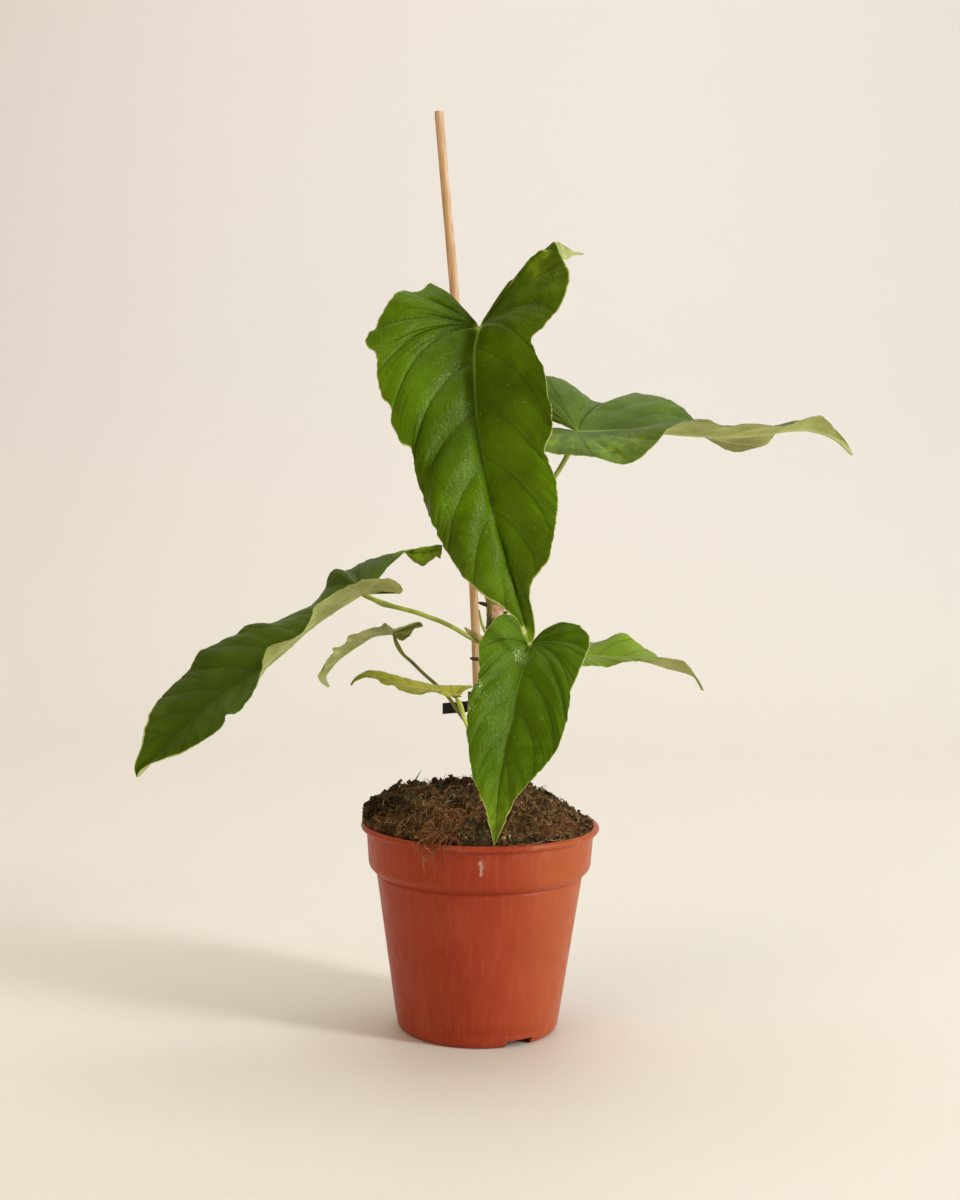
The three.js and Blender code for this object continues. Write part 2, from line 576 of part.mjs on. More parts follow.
// Height of the soil: a dome with a clump on the left edge, a swell and a dip on the right, and lumps
function soilHeight(x, y) {
  const reach = Math.hypot(x, y) / SOIL_RADIUS;
  const dome = 16.6 * (1 - Math.min(reach, 1) ** 2.6);
  const leftSwell = 4.6 * Math.exp(-((x + 44) ** 2 / 260 + (y - 4) ** 2 / 400));
  const leftClump = 3.8 * Math.exp(-((x + 54) ** 2 / 60 + y ** 2 / 200));
  const rightSwell = 2 * Math.exp(-((x - 41) ** 2 + (y - 4) ** 2) / 110);
  const rightDip = -4.6 * Math.exp(-((x - 48) ** 2 / 260 + y ** 2 / 1400));
  const broadLumps = 1.2 * Math.sin(0.31 * x + 0.9) * Math.sin(0.27 * y - 0.4);
  const lumps = (broadLumps + 0.8 * Math.sin(0.62 * x - 0.35 * y + 2)) * (1 - Math.min(reach, 1) ** 6);
  return POT_HEIGHT + 1.4 + dome + leftSwell + leftClump + rightSwell + rightDip + lumps;
}

// Soil: the bumpy surface, a small overhang on the lip at the left, and the fill inside the pot
function makeSoil() {
  const rings = [];
  for (const radius of SOIL_RINGS) {
    rings.push((angle) => {
      const x = radius * Math.cos(angle);
      const y = radius * Math.sin(angle);
      return [x, y, soilHeight(x, y)];
    });
  }
  const overhang = (angle) => SOIL_RADIUS + SOIL_OVERHANG * Math.exp(-(((angle - Math.PI) / 0.4) ** 2));
  const wallRadius = SOIL_RADIUS - 0.1;
  rings.push((angle) => {
    const x = overhang(angle) * Math.cos(angle);
    const y = overhang(angle) * Math.sin(angle);
    return [x, y, Math.max(soilHeight(x, y) - 1, POT_HEIGHT + 0.8)];
  });
  rings.push((angle) => [
    overhang(angle) * Math.cos(angle), overhang(angle) * Math.sin(angle), POT_HEIGHT + GAP,
  ]);
  const wall = [
    [wallRadius, POT_HEIGHT + GAP - 0.05],
    [wallRadius, POT_HEIGHT - 1],
    [POT_COLLAR_FOOT.radius - 1.7, POT_COLLAR_FOOT.height + 1],
    [POT_BODY_TOP.radius - POT_WALL - GAP - 0.2, POT_BODY_TOP.height + 0.5],
    [POT_FOOT_TOP.radius - 1.6, POT_FOOT_TOP.height + 1],
    [POT_FOOT_TOP.radius - 2.1, POCKET_TOP + GAP],
  ];
  for (const [radius, height] of wall) {
    rings.push((angle) => [radius * Math.cos(angle), radius * Math.sin(angle), height]);
  }
  const points = [];
  for (const ring of rings) {
    for (let j = 0; j < SOIL_SEGMENTS; j++) {
      points.push(toVector(ring((2 * Math.PI * j) / SOIL_SEGMENTS)));
    }
  }
  const triangles = [];
  for (let i = 0; i + 1 < rings.length; i++) {
    for (let j = 0; j < SOIL_SEGMENTS; j++) {
      const a = i * SOIL_SEGMENTS + j;
      const b = i * SOIL_SEGMENTS + ((j + 1) % SOIL_SEGMENTS);
      triangles.push([a, a + SOIL_SEGMENTS, b + SOIL_SEGMENTS], [a, b + SOIL_SEGMENTS, b]);
    }
  }
  const top = points.length;
  points.push(new THREE.Vector3(0, 0, soilHeight(0, 0)));
  points.push(new THREE.Vector3(0, 0, POCKET_TOP + GAP));
  const last = (rings.length - 1) * SOIL_SEGMENTS;
  for (let j = 0; j < SOIL_SEGMENTS; j++) {
    const next = (j + 1) % SOIL_SEGMENTS;
    triangles.push([top, j, next], [top + 1, last + next, last + j]);
  }
  return solidFromTriangles(points, triangles);
}

// A route whose first point lies deeper, so that a hole made with it has room under the rod's end
function lowered([[x, y, z], ...others], drop) {
  return [[x, y, z - drop], ...others];
}

// Stem radius along its length, with a pointed top; extra widens the whole stem
const stemRadius = (extra) => (t) => {
  const tip = THREE.MathUtils.smoothstep(t, 0.86, 1);
  return THREE.MathUtils.lerp(STEM_RADIUS, 1.2, tip) + extra;
};

const stemTube = (extra) => taperedTube(lowered(STEM_ROUTE, extra), stemRadius(extra), 18, 12);

// Stem with its short aerial roots, and the thin green scale beside the left leaf's stalk
function makeStem() {
  const spurs = [
    { route: [[5, -2, 213], [1, -3, 214], [-2.6, -3.5, 215]], foot: 1.5, tip: 0.8 },
    { route: [[7, -2.5, 210.5], [10, -3, 210], [12, -3.2, 210]], foot: 1.3, tip: 0.8 },
    { route: [[4.5, -4.5, 185.8], [-2, -6, 186.8], [-7.3, -6.5, 187.3]], foot: 1.4, tip: 1 },
    { route: [[3, -5, 198], [-0.5, -7.2, 204], [-2.2, -6.8, 211.5]], foot: 1.1, tip: 0.4 },
  ];
  let stem = stemTube(0);
  for (const { route, foot, tip } of spurs) {
    stem = stem.add(taperedTube(route, (t) => THREE.MathUtils.lerp(foot, tip, t), 4, 6));
  }
  return stem;
}

const stakeTube = (extra) => taperedTube(lowered(STAKE_ROUTE, extra), () => STAKE_RADIUS + extra, 16, 12);

// Outline of a band pulled round two round bars
function bandOutline(bars, clearance, count) {
  const outline = [];
  for (let i = 0; i < count; i++) {
    const angle = (2 * Math.PI * i) / count;
    const direction = new THREE.Vector2(Math.cos(angle), Math.sin(angle));
    const reach = bars.map((bar) => bar.centre.dot(direction) + bar.radius);
    const bar = reach[0] > reach[1] ? bars[0] : bars[1];
    outline.push(bar.centre.clone().addScaledVector(direction, bar.radius + clearance));
  }
  return outline;
}

// Tie: a flat band round stake and stem, with its free end out to the left and an upright tab
function makeTie() {
  const bars = [
    { centre: new THREE.Vector2(-2.2, 9.9), radius: STAKE_RADIUS },
    { centre: new THREE.Vector2(4.5, -4), radius: STEM_RADIUS },
  ];
  const band = new THREE.Shape(bandOutline(bars, GAP + TIE_THICKNESS + 0.1, 32));
  band.holes.push(new THREE.Path(bandOutline(bars, GAP + 0.2, 32)));
  const loop = new THREE.ExtrudeGeometry(band, { depth: TIE_HEIGHT, bevelEnabled: false });
  loop.translate(0, 0, TIE_LEVEL - TIE_HEIGHT / 2);
  const tail = new THREE.BoxGeometry(TIE_TAIL_LENGTH, TIE_THICKNESS, TIE_HEIGHT);
  tail.translate(-TIE_TAIL_LENGTH / 2, 0, 0);
  tail.rotateY(THREE.MathUtils.degToRad(-TIE_TAIL_DROOP));
  tail.rotateZ(THREE.MathUtils.degToRad(5));
  tail.translate(-5.2, 10.2, TIE_LEVEL);
  const tab = new THREE.BoxGeometry(1.8, 1.4, 9.6);
  tab.translate(-6.3, 10, TIE_LEVEL + 2.6);
  return solidFromGeometry(loop).add(solidFromGeometry(tail)).add(solidFromGeometry(tab));
}

// Leaf: stalk and blades in one piece, cut clear of the stem that it grows from
function makeLeaf(leaf) {
  const radiusAt = (t, length) => {
    const foot = THREE.MathUtils.smoothstep(STALK_FOOT_LENGTH - t * length, 0, STALK_FOOT_LENGTH);
    const knee = Math.exp(-(((length * (1 - t) - leaf.knee) / 3.5) ** 2));
    return leaf.stalkRadius * (1 + 0.6 * foot + 0.35 * knee);
  };
  const length = curveThrough(leaf.stalk).getLength();
  let solid = taperedTube(leaf.stalk, radiusAt, Math.round(length / 8) + 4, 7);
  solid = solid.subtract(stemTube(GAP));
  const joint = new THREE.SphereGeometry(leaf.stalkRadius * 1.2, 7, 5);
  joint.translate(...leaf.blades[0].midrib[0]);
  solid = solid.add(solidFromGeometry(joint));
  for (const blade of leaf.blades) {
    solid = solid.add(bladeSolid(blade, blade.rows > 10 ? 3 : 2));
  }
  return solid;
}

const group = new THREE.Group();

function addPart(name, solid, color, roughness) {
  const material = new THREE.MeshStandardMaterial({ color, roughness, metalness: 0 });
  const mesh = new THREE.Mesh(geometryFromSolid(solid), material);
  mesh.name = name;
  group.add(mesh);
}

addPart("pot", makePot(), 0xa84a2c, 0.5);
addPart("soil", makeSoil().subtract(stemTube(GAP)).subtract(stakeTube(GAP)), 0x3a2a1c, 0.95);
addPart("stake", stakeTube(0), 0xd4ab80, 0.7);
addPart("tie", makeTie(), 0x1a1a18, 0.5);
addPart("stem", makeStem(), 0x5b6a35, 0.7);
for (const leaf of LEAVES) {
  addPart(leaf.name, makeLeaf(leaf), leaf.color, 0.45);
}

export default group;
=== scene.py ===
import math

import bpy
import numpy as np
from mathutils import Matrix, Vector


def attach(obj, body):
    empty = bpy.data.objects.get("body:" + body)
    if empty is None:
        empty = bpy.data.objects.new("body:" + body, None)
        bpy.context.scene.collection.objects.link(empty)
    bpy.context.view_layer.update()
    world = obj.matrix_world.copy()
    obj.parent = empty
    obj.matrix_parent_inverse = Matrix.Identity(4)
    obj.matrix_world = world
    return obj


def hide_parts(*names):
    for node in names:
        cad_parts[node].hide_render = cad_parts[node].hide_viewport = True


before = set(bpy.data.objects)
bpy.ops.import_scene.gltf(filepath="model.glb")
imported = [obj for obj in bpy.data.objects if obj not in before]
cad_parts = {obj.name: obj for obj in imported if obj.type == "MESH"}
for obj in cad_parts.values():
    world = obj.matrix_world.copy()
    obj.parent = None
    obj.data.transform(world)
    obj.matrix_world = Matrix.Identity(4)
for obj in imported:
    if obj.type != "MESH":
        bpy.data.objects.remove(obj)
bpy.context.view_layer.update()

MM = 0.001
SEED = 31

# Pot, as its solid: radius and height of the main places, from the base up the outside
POT_HEIGHT = 103.7
POT_LIP_RADIUS = 60.0
POT_MOUTH_RADIUS = 56.6
POT_COLLAR_TOP = (57.2, 100.6)
POT_COLLAR_FOOT = (56.0, 84.2)
POT_BODY_TOP = (52.0, 79.0)
POT_FOOT_TOP = (41.2, 7.0)
POT_BASE_RADIUS = 38.6
POT_WALL = 1.3
POT_FLOOR = 2.2
POCKET_COUNT = 3
POCKET_FIRST_ANGLE = -59.0
POCKET_CENTRE = 32.5
POCKET_LENGTH = 13.0
POCKET_WIDTH = 18.0
POCKET_TOP = 5.6
NOTCH_HEIGHT = 3.6
NOTCH_WIDTH = 14.5
NOTCH_INNER_END = 28.0
DRAIN_RADIUS = 3.0

# Soil
SOIL_RADIUS = POT_MOUTH_RADIUS - 0.3
SOIL_OVERHANG = 3.2
SOIL_BOTTOM = 5.9

# Stem, stake and tie; the rings' places are distances along the stem
STEM_RADIUS = 4.2
STEM_ROUTE = [
    (4, -4, 88), (4, -4, 115), (4, -4, 136), (4.5, -4, 166), (5, -3, 196.5),
    (6, -2, 211.5), (7.5, -1, 223.5), (9.5, 0, 233.5), (11, 1, 245),
]
STAKE_RADIUS = 2.3
STAKE_ROUTE = [
    (0.5, 7.5, 30), (-0.5, 8, 113.5), (-3.3, 11, 189.5), (-5.3, 12, 223),
    (-11, 15, 301), (-18, 19, 379.5), (-22.2, 21, 420), (-26.3, 23, 461),
]
STEM_RINGS = (34, 46, 55, 66, 78, 88, 97, 105, 113, 121, 129)
TIE_LEVEL = 161.2
TIE_HEIGHT = 5.6
TIE_END_DROOP = 5
BAND_POINTS = 96

# Leaves
STALK_FOOT_LENGTH = 9
BLADE_THICKNESS = 0.36
BLADE_EDGE_THICKNESS = 0.16

# Camera: place in metres, pitch and roll in degrees, and focal length for a sensor 36 mm wide
CAMERA_PLACE = (-0.0018, -0.843, 0.2723)
CAMERA_PITCH = 3.82
CAMERA_ROLL = 0.87
CAMERA_LENS = 50.65

# Leaf blades, as their solids: the midrib from the stalk's end to the tip, and the margin on each side, from
# the notch at the stalk round the lobe to the tip. fan is the share of the margin that the veins from the
# stalk's end reach, sweep is how far the veins bow towards the notch, dome is the bulge between midrib and
# margin. veins are the margin shares where side veins end, drift is how far they start nearer the tip, and
# quilt is how far the tissue swells up between veins. grid is rows of the fan, rows of the rest, and columns.
FRONT_LARGE_BLADE = {
    "midrib": [
        (-4, -34, 348), (-6, -40, 337.5), (-6, -47, 326), (-4.5, -56, 305.5), (1, -63, 275.5),
        (5.5, -65, 255.5), (11, -64, 238), (16.5, -60, 219), (22, -54, 198),
    ],
    "left": {
        "margin": [
            (-13, -31, 354.5), (-22, -28, 365.5), (-24.5, -30, 365.5), (-28, -30, 368.5), (-31.5, -34, 365),
            (-35, -37, 363.5), (-40, -40, 364), (-44, -44, 362), (-50.5, -50.5, 350), (-53, -54, 344),
            (-55.5, -57, 342), (-56.5, -58.5, 338), (-55, -58.5, 335), (-52, -57, 333.5),
            (-51, -57.5, 327.5), (-50.5, -59.5, 320), (-48, -61, 313), (-44, -62.5, 308), (-44, -64, 302),
            (-39, -65.5, 291.5), (-35, -64.5, 290), (-31, -66, 273.5), (-27, -66, 264),
            (-24.5, -72.5, 256.5), (-19.5, -71, 246), (-10, -69, 232), (1.5, -66, 221.5), (6.5, -64, 219),
            (11.5, -62, 214.5), (16, -60, 210.5), (18.5, -57, 203.5),
        ],
        "fan": 0.48, "sweep": 0.7, "dome": (0, 1, 1, 2, 3, 4, 3, 0),
        "veins": (0.10, 0.19, 0.30, 0.40, 0.50, 0.60, 0.69, 0.77, 0.84, 0.91),
        "drift": 0.04,
    },
    "right": {
        "margin": [
            (0.5, -36, 352.5), (5, -39, 359), (10.5, -43, 369), (15, -45, 371.5), (18.5, -47, 375),
            (19, -48, 377.5), (24.5, -49, 383), (28, -50, 382.5), (30, -49, 386.5), (34, -56, 378.5),
            (37.5, -64, 369), (36, -66.5, 363), (33, -68, 355.5), (29, -68.5, 350), (24.5, -68.5, 344.5),
            (21.5, -67.5, 342.5), (20, -67.5, 339), (22, -70, 334), (26, -73.5, 324), (28, -75, 313.5),
            (29.5, -75.5, 308), (29.5, -75.5, 297), (26.5, -75, 290), (28.5, -75.5, 283.5),
            (31.5, -76, 276.5), (33, -75.5, 267), (31, -72.5, 248.5), (29.5, -71, 240), (25, -69, 233.5),
            (21.5, -67, 227), (21.5, -64.5, 220), (24, -59, 208.5), (24, -56, 203),
        ],
        "fan": 0.48, "sweep": 0.6, "dome": (0, 1, 2, 2, 2, 2, 1, 0),
        "veins": (0.08, 0.17, 0.27, 0.37, 0.48, 0.59, 0.69, 0.78, 0.86, 0.93),
        "drift": 0.06, "relief": 0.45,
    },
    "quilt": 2.2, "grid": (120, 170, 44),
}

# The end of the large leaf's right lobe, folded over to the back
FRONT_LARGE_LOBE_END = {
    "midrib": [(30.5, -51, 382.5), (36, -47, 382.5), (40, -44, 382), (44.5, -42, 382)],
    "left": {
        "margin": [(30, -49, 385.5), (32.5, -46, 387), (36, -44, 385.5), (40, -43, 383), (42, -42.5, 383)],
        "fan": 0.1, "sweep": 0, "dome": (0, 0), "veins": (0.4, 0.7), "drift": 0,
    },
    "right": {
        "margin": [(33, -55, 378.5), (35, -54, 377.5), (38, -48, 380), (41.5, -44.5, 381.5)],
        "fan": 0.1, "sweep": 0, "dome": (0, 0), "veins": (0.4, 0.7), "drift": 0,
    },
    "quilt": 0.1, "grid": (6, 26, 8),
}

BACK_RIGHT_BLADE = {
    "midrib": [
        (47, 30, 301.5), (61, 30, 302), (76, 30, 303), (92, 31, 301.5), (110.5, 32, 300.5),
        (128.5, 33, 300.5), (144.5, 34, 302), (157.5, 35, 304), (171, 38, 304), (182.5, 41, 300),
        (192.5, 44, 292),
    ],
    "left": {
        "margin": [
            (39.5, 28, 301), (32.5, 24, 301), (22, 16, 300.5), (14.5, 6, 297.5), (13, -2, 294),
            (18, -8, 291), (27.5, -10, 290), (41.5, -12, 288.5), (52, -13, 288), (62.5, -14, 285),
            (68, -14, 284.5), (73.5, -14, 286), (78.5, -13, 290), (84, -10, 295), (89, -6, 301),
            (96, -2, 305), (104.5, 1, 306.5), (109.5, 3, 307.5), (114.5, 4, 306), (120.5, 5, 304),
            (127, 6, 304.5), (133.5, 8, 306), (139, 9, 306), (145.5, 11, 305), (152.5, 14, 305.5),
            (159, 18, 308), (168, 24, 311), (173.5, 30, 311), (180.5, 36, 305.5), (187.5, 41, 299.5),
        ],
        "fan": 0.38, "sweep": 0.25, "dome": (0, 2, 3, 3, 2, 1, 1, 0),
        "veins": (0.07, 0.14, 0.22, 0.29, 0.36, 0.43, 0.50, 0.57, 0.64, 0.71, 0.78, 0.85, 0.92),
        "drift": 0.06,
    },
    "right": {
        "margin": [
            (38, 34, 305.5), (32, 40, 308.5), (25, 48, 314.5), (21, 56, 322.5), (24.5, 62, 329.5),
            (31.5, 65, 332), (39, 67, 331), (48.5, 68, 325.5), (56.5, 69, 320), (65.5, 70, 318.5),
            (72, 71, 320), (79.5, 71, 324), (86, 71, 323.5), (97, 69, 321), (103, 68, 318),
            (113, 66, 308.5), (119, 65, 301), (123, 64, 297), (129, 63, 294), (135.5, 61, 293),
            (142.5, 60, 294.5), (148.5, 58, 297), (152, 56, 300.5), (155.5, 55, 306), (160.5, 54, 308.5),
            (168.5, 50, 310.5), (176, 47, 310), (183.5, 46, 304.5), (188.5, 45, 298),
        ],
        "fan": 0.42, "sweep": 0.3, "dome": (0, 2, 3, 3, 2, 1, 1, 0),
        "veins": (0.07, 0.14, 0.22, 0.30, 0.38, 0.46, 0.54, 0.62, 0.70, 0.78, 0.86, 0.93),
        "drift": 0.10,
    },
    "quilt": 0.9, "grid": (96, 150, 40),
}

LEFT_LARGE_BLADE = {
    "midrib": [
        (-60, -15, 219), (-72.5, -18, 211), (-85.5, -22, 201.5), (-96.5, -26, 191), (-107, -29, 182.5),
        (-113.5, -31, 178.5), (-125.5, -36, 170), (-142, -43, 156), (-154, -48, 143), (-163, -52, 133),
    ],
    "left": {
        "margin": [
            (-57.5, -4, 225.5), (-54.5, 2, 228.5), (-50, 8, 232), (-45.5, 14, 237), (-42.5, 17, 238.5),
            (-40, 19, 239), (-42.5, 18, 239.5), (-46, 17, 238), (-54.5, 16, 236), (-62.5, 15, 233),
            (-67.5, 14, 230), (-70.5, 13, 229), (-76, 12, 229.5), (-78, 11, 227.5), (-79.5, 10, 222.5),
            (-81.5, 9, 217.5), (-88, 8, 210.5), (-97.5, 6, 206), (-112.5, 3, 200), (-118.5, 2, 201),
            (-123, 0, 197.5), (-133, -3, 192.5), (-140.5, -5, 189), (-142.5, -7, 186.5),
            (-145, -10, 180.5), (-149, -13, 176), (-157.5, -21, 167), (-161, -29, 160),
            (-162.5, -36, 153.5), (-162.5, -42, 147.5), (-164.5, -50, 137.5),
        ],
        "fan": 0.36, "sweep": 0.2, "dome": (0, 1, 2, 2, 3, 2, 1, 0),
        "veins": (0.08, 0.16, 0.24, 0.32, 0.39, 0.46, 0.53, 0.60, 0.67, 0.74, 0.81, 0.88, 0.94),
        "drift": 0.06,
    },
    "right": {
        "margin": [
            (-57, -16, 221.5), (-53, -20, 223), (-48.5, -26, 223), (-44, -32, 222), (-40, -37, 221),
            (-39, -40, 223.5), (-41, -42, 226), (-44, -44, 228), (-49, -46, 228.5), (-54, -47, 228.5),
            (-58, -48, 227), (-70, -48, 221.5), (-75.5, -49, 218), (-80, -49, 214.5), (-81, -49, 210.5),
            (-84.5, -50, 203.5), (-91.5, -52, 199), (-99, -53, 197), (-101.5, -54, 195),
            (-102.5, -55, 190.5), (-104.5, -56, 182), (-106, -57, 177.5), (-109, -58, 171.5),
            (-112.5, -59, 167), (-115.5, -59, 164.5), (-120, -58, 164), (-120, -59, 161.5),
            (-121.5, -59, 158.5), (-125.5, -59, 155), (-133, -58, 150), (-141.5, -57, 145),
            (-154.5, -54, 140.5), (-161, -53, 136.5),
        ],
        "fan": 0.3, "sweep": 0.1, "dome": (0, 0, 0, -1, -1, 0, 1, 0),
        "veins": (0.08, 0.16, 0.24, 0.32, 0.39, 0.46, 0.53, 0.60, 0.67, 0.74, 0.81, 0.88, 0.94),
        "drift": 0.06,
    },
    "quilt": 0.6, "grid": (84, 156, 40),
}

# The end of the left leaf's far lobe, beyond its narrow neck
LEFT_LARGE_LOBE_END = {
    "midrib": [(-42, 18, 239), (-38.5, 19, 239), (-33, 21, 238.5), (-27.5, 21, 239.5), (-21.5, 20, 240.5)],
    "right": {
        "margin": [(-38.5, 18, 239.5), (-34, 17, 241), (-27.5, 17, 242), (-22, 18, 243)],
        "fan": 0.2, "sweep": 0, "dome": (0, 1, 1, 0), "veins": (0.3, 0.6), "drift": 0,
    },
    "left": {
        "margin": [
            (-39, 20, 238.5), (-37.5, 22, 236), (-35.5, 23, 233.5), (-31, 24, 231.5), (-27, 23, 234.5),
            (-24.5, 22, 236.5), (-22.5, 21, 235.5),
        ],
        "fan": 0.15, "sweep": 0, "dome": (0, 1, 1, 0), "veins": (0.3, 0.6), "drift": 0,
    },
    "quilt": 0.1, "grid": (12, 40, 12),
}

BACK_LEFT_BLADE = {
    "midrib": [
        (-46, 25, 196.5), (-50.5, 25, 196), (-56.5, 24, 195), (-64.5, 23, 190), (-73.5, 22, 183.5),
        (-78, 21, 178.5), (-81, 20, 173.5), (-79, 19, 168.5),
    ],
    "left": {
        "margin": [
            (-44, 28, 197), (-40, 31, 198), (-37, 33, 199), (-40, 35, 199), (-46.5, 35, 198),
            (-51, 34, 198.5), (-56.5, 33.5, 197.5), (-63, 33, 195.5), (-69, 32.5, 192), (-74, 31, 188),
            (-79.5, 30, 183), (-82, 28, 178.5), (-84, 26, 173.5), (-82.5, 23, 170),
        ],
        "fan": 0.34, "sweep": 0.1, "dome": (0, 1, 1, 1, 1, 1, 0, 0),
        "veins": (0.1, 0.22, 0.34, 0.45, 0.56, 0.67, 0.78, 0.88), "drift": 0.06,
    },
    "right": {
        "margin": [
            (-44.5, 22, 194.5), (-41.5, 17, 193.5), (-38.5, 13, 195), (-36, 10, 198.5), (-33.5, 8, 202),
            (-30.5, 7, 201.5), (-31.5, 7, 204), (-35.5, 6, 203), (-41.5, 6, 200.5), (-45, 6, 199.5),
            (-47.5, 7, 202), (-50, 8, 203), (-52, 8, 201), (-56.5, 8, 200.5), (-61.5, 8, 198.5),
            (-68.5, 8, 195.5), (-69, 9, 192.5), (-72, 9, 190.5), (-76, 9, 189.5), (-75.5, 10, 187.5),
            (-79, 10, 184), (-80.5, 11, 181), (-80.5, 13, 179), (-84, 15, 175), (-83, 17, 171.5),
        ],
        "fan": 0.38, "sweep": 0.05, "dome": (0, 1, 1, 0, 0, 0, 0, 0),
        "veins": (0.1, 0.22, 0.34, 0.45, 0.56, 0.67, 0.78, 0.88), "drift": 0.06,
    },
    "quilt": 0.25, "grid": (48, 84, 20),
}

YOUNG_BLADE = {
    "midrib": [
        (-13, -10, 168), (-18.5, -9, 170.5), (-28.5, -8, 172), (-41, -8, 174.5), (-50.5, -9, 177.5),
        (-58.5, -10, 179), (-63, -11, 177), (-65.5, -12, 173.5),
    ],
    "left": {
        "margin": [
            (-10.5, -8.5, 169.5), (-8, -6.5, 171.5), (-4.5, -4, 172.5), (-8, -0.5, 173), (-14.5, 2, 172.5),
            (-22, 3, 172.5), (-29, 3, 173), (-37.5, 2.5, 175.5), (-46, 0.5, 177.5), (-51, -1, 179.5),
            (-56, -3.5, 180), (-60, -6, 179), (-63.5, -9, 177),
        ],
        "fan": 0.24, "sweep": 0.1, "dome": (0, 1, 1, 1, 1, 1, 0, 0),
        "veins": (0.1, 0.2, 0.31, 0.42, 0.53, 0.64, 0.75, 0.86), "drift": 0.06,
    },
    "right": {
        "margin": [
            (-11, -11, 168.5), (-10, -15.5, 169.5), (-12.5, -20, 170), (-18, -22, 170),
            (-23.5, -22.5, 172), (-27.5, -23.5, 171.5), (-31, -23.5, 170.5), (-36, -23.5, 171.5),
            (-40.5, -22.5, 173), (-43.5, -22, 175), (-46, -21, 174.5), (-49.5, -20.5, 175.5),
            (-52.5, -19, 177.5), (-56, -17, 178), (-60.5, -14, 177),
        ],
        "fan": 0.2, "sweep": 0.1, "dome": (0, 1, 1, 1, 1, 1, 0, 0),
        "veins": (0.1, 0.2, 0.31, 0.42, 0.53, 0.64, 0.75, 0.86), "drift": 0.06,
    },
    "quilt": 0.2, "grid": (36, 84, 20),
}

FRONT_HEART_BLADE = {
    "midrib": [
        (22.5, -38, 197), (20, -47, 189.5), (16.5, -57, 178), (14.5, -64, 166), (11.5, -69, 155),
        (9, -73, 140), (7.5, -74, 124.5), (6.5, -73, 107),
    ],
    "left": {
        "margin": [
            (20, -37, 198.5), (18, -37, 201.5), (16.5, -38, 207.5), (13.5, -40, 211.5), (8, -43, 212),
            (3.5, -48, 208.5), (0, -52, 203), (-2, -56, 198), (-2, -63, 185.5), (-2.5, -65, 181.5),
            (-5, -67, 178), (-6.5, -70, 172), (-7, -73, 164.5), (-6.5, -75, 156), (-3.5, -77, 139.5),
            (0, -77, 130.5), (3, -76, 121.5),
        ],
        "fan": 0.46, "sweep": 0.6, "dome": (0, 1, 2, 2, 2, 1, 0, 0),
        "veins": (0.16, 0.33, 0.47, 0.58, 0.68, 0.78, 0.88), "drift": 0.04,
    },
    "right": {
        "margin": [
            (25.5, -38, 200), (30, -40, 204.5), (35.5, -43, 208.5), (42.5, -48, 208.5), (46.5, -52, 207),
            (49.5, -56, 203.5), (50, -59, 199.5), (48, -62, 195), (42.5, -68, 183), (40.5, -70, 179),
            (40.5, -73, 174.5), (37, -77, 160.5), (34, -78, 152.5), (26, -78, 142), (22, -78, 138),
            (16, -77, 130), (10, -75, 115.5),
        ],
        "fan": 0.5, "sweep": 0.6, "dome": (0, 1, 2, 2, 2, 1, 0, 0),
        "veins": (0.15, 0.31, 0.46, 0.56, 0.66, 0.76, 0.87), "drift": 0.06,
    },
    "quilt": 0.9, "grid": (100, 130, 36),
}

RIGHT_SMALL_BLADE = {
    "midrib": [
        (46.5, 4, 188), (52.5, 4, 188.5), (61.5, 4, 188), (70.5, 4, 187.5), (80.5, 4, 186.5),
        (87, 4, 185), (93, 5, 183), (103, 6, 180.5), (108, 8, 178), (112.5, 9, 171),
    ],
    "left": {
        "margin": [
            (44, 0, 186.5), (41.5, -5, 184.5), (44.5, -10, 184), (50, -13, 185), (61.5, -15, 185),
            (69, -14.5, 187), (75.5, -13, 187.5), (82, -11, 188), (88, -8.5, 188.5), (94.5, -5, 188),
            (100.5, -2, 187), (104.5, 1.5, 183), (108.5, 4.5, 177.5),
        ],
        "fan": 0.3, "sweep": 0.2, "dome": (0, 1, 1, 1, 1, 1, 0, 0),
        "veins": (0.1, 0.2, 0.31, 0.42, 0.53, 0.64, 0.75, 0.86), "drift": 0.06,
    },
    "right": {
        "margin": [
            (44, 7, 191), (42, 11, 194), (44.5, 16.5, 196), (50, 21, 195), (55, 22, 193.5),
            (63, 23.5, 194.5), (71, 24.5, 198.5), (75, 23.5, 197), (82, 22, 192), (87.5, 20, 188.5),
            (92, 17.5, 186), (97, 14.5, 185.5), (102.5, 11.5, 185.5), (105.5, 10.5, 182), (109, 9, 177),
        ],
        "fan": 0.34, "sweep": 0.2, "dome": (0, 1, 1, 1, 1, 1, 0, 0),
        "veins": (0.1, 0.2, 0.31, 0.42, 0.53, 0.64, 0.75, 0.86), "drift": 0.06,
    },
    "quilt": 0.3, "grid": (48, 90, 22),
}

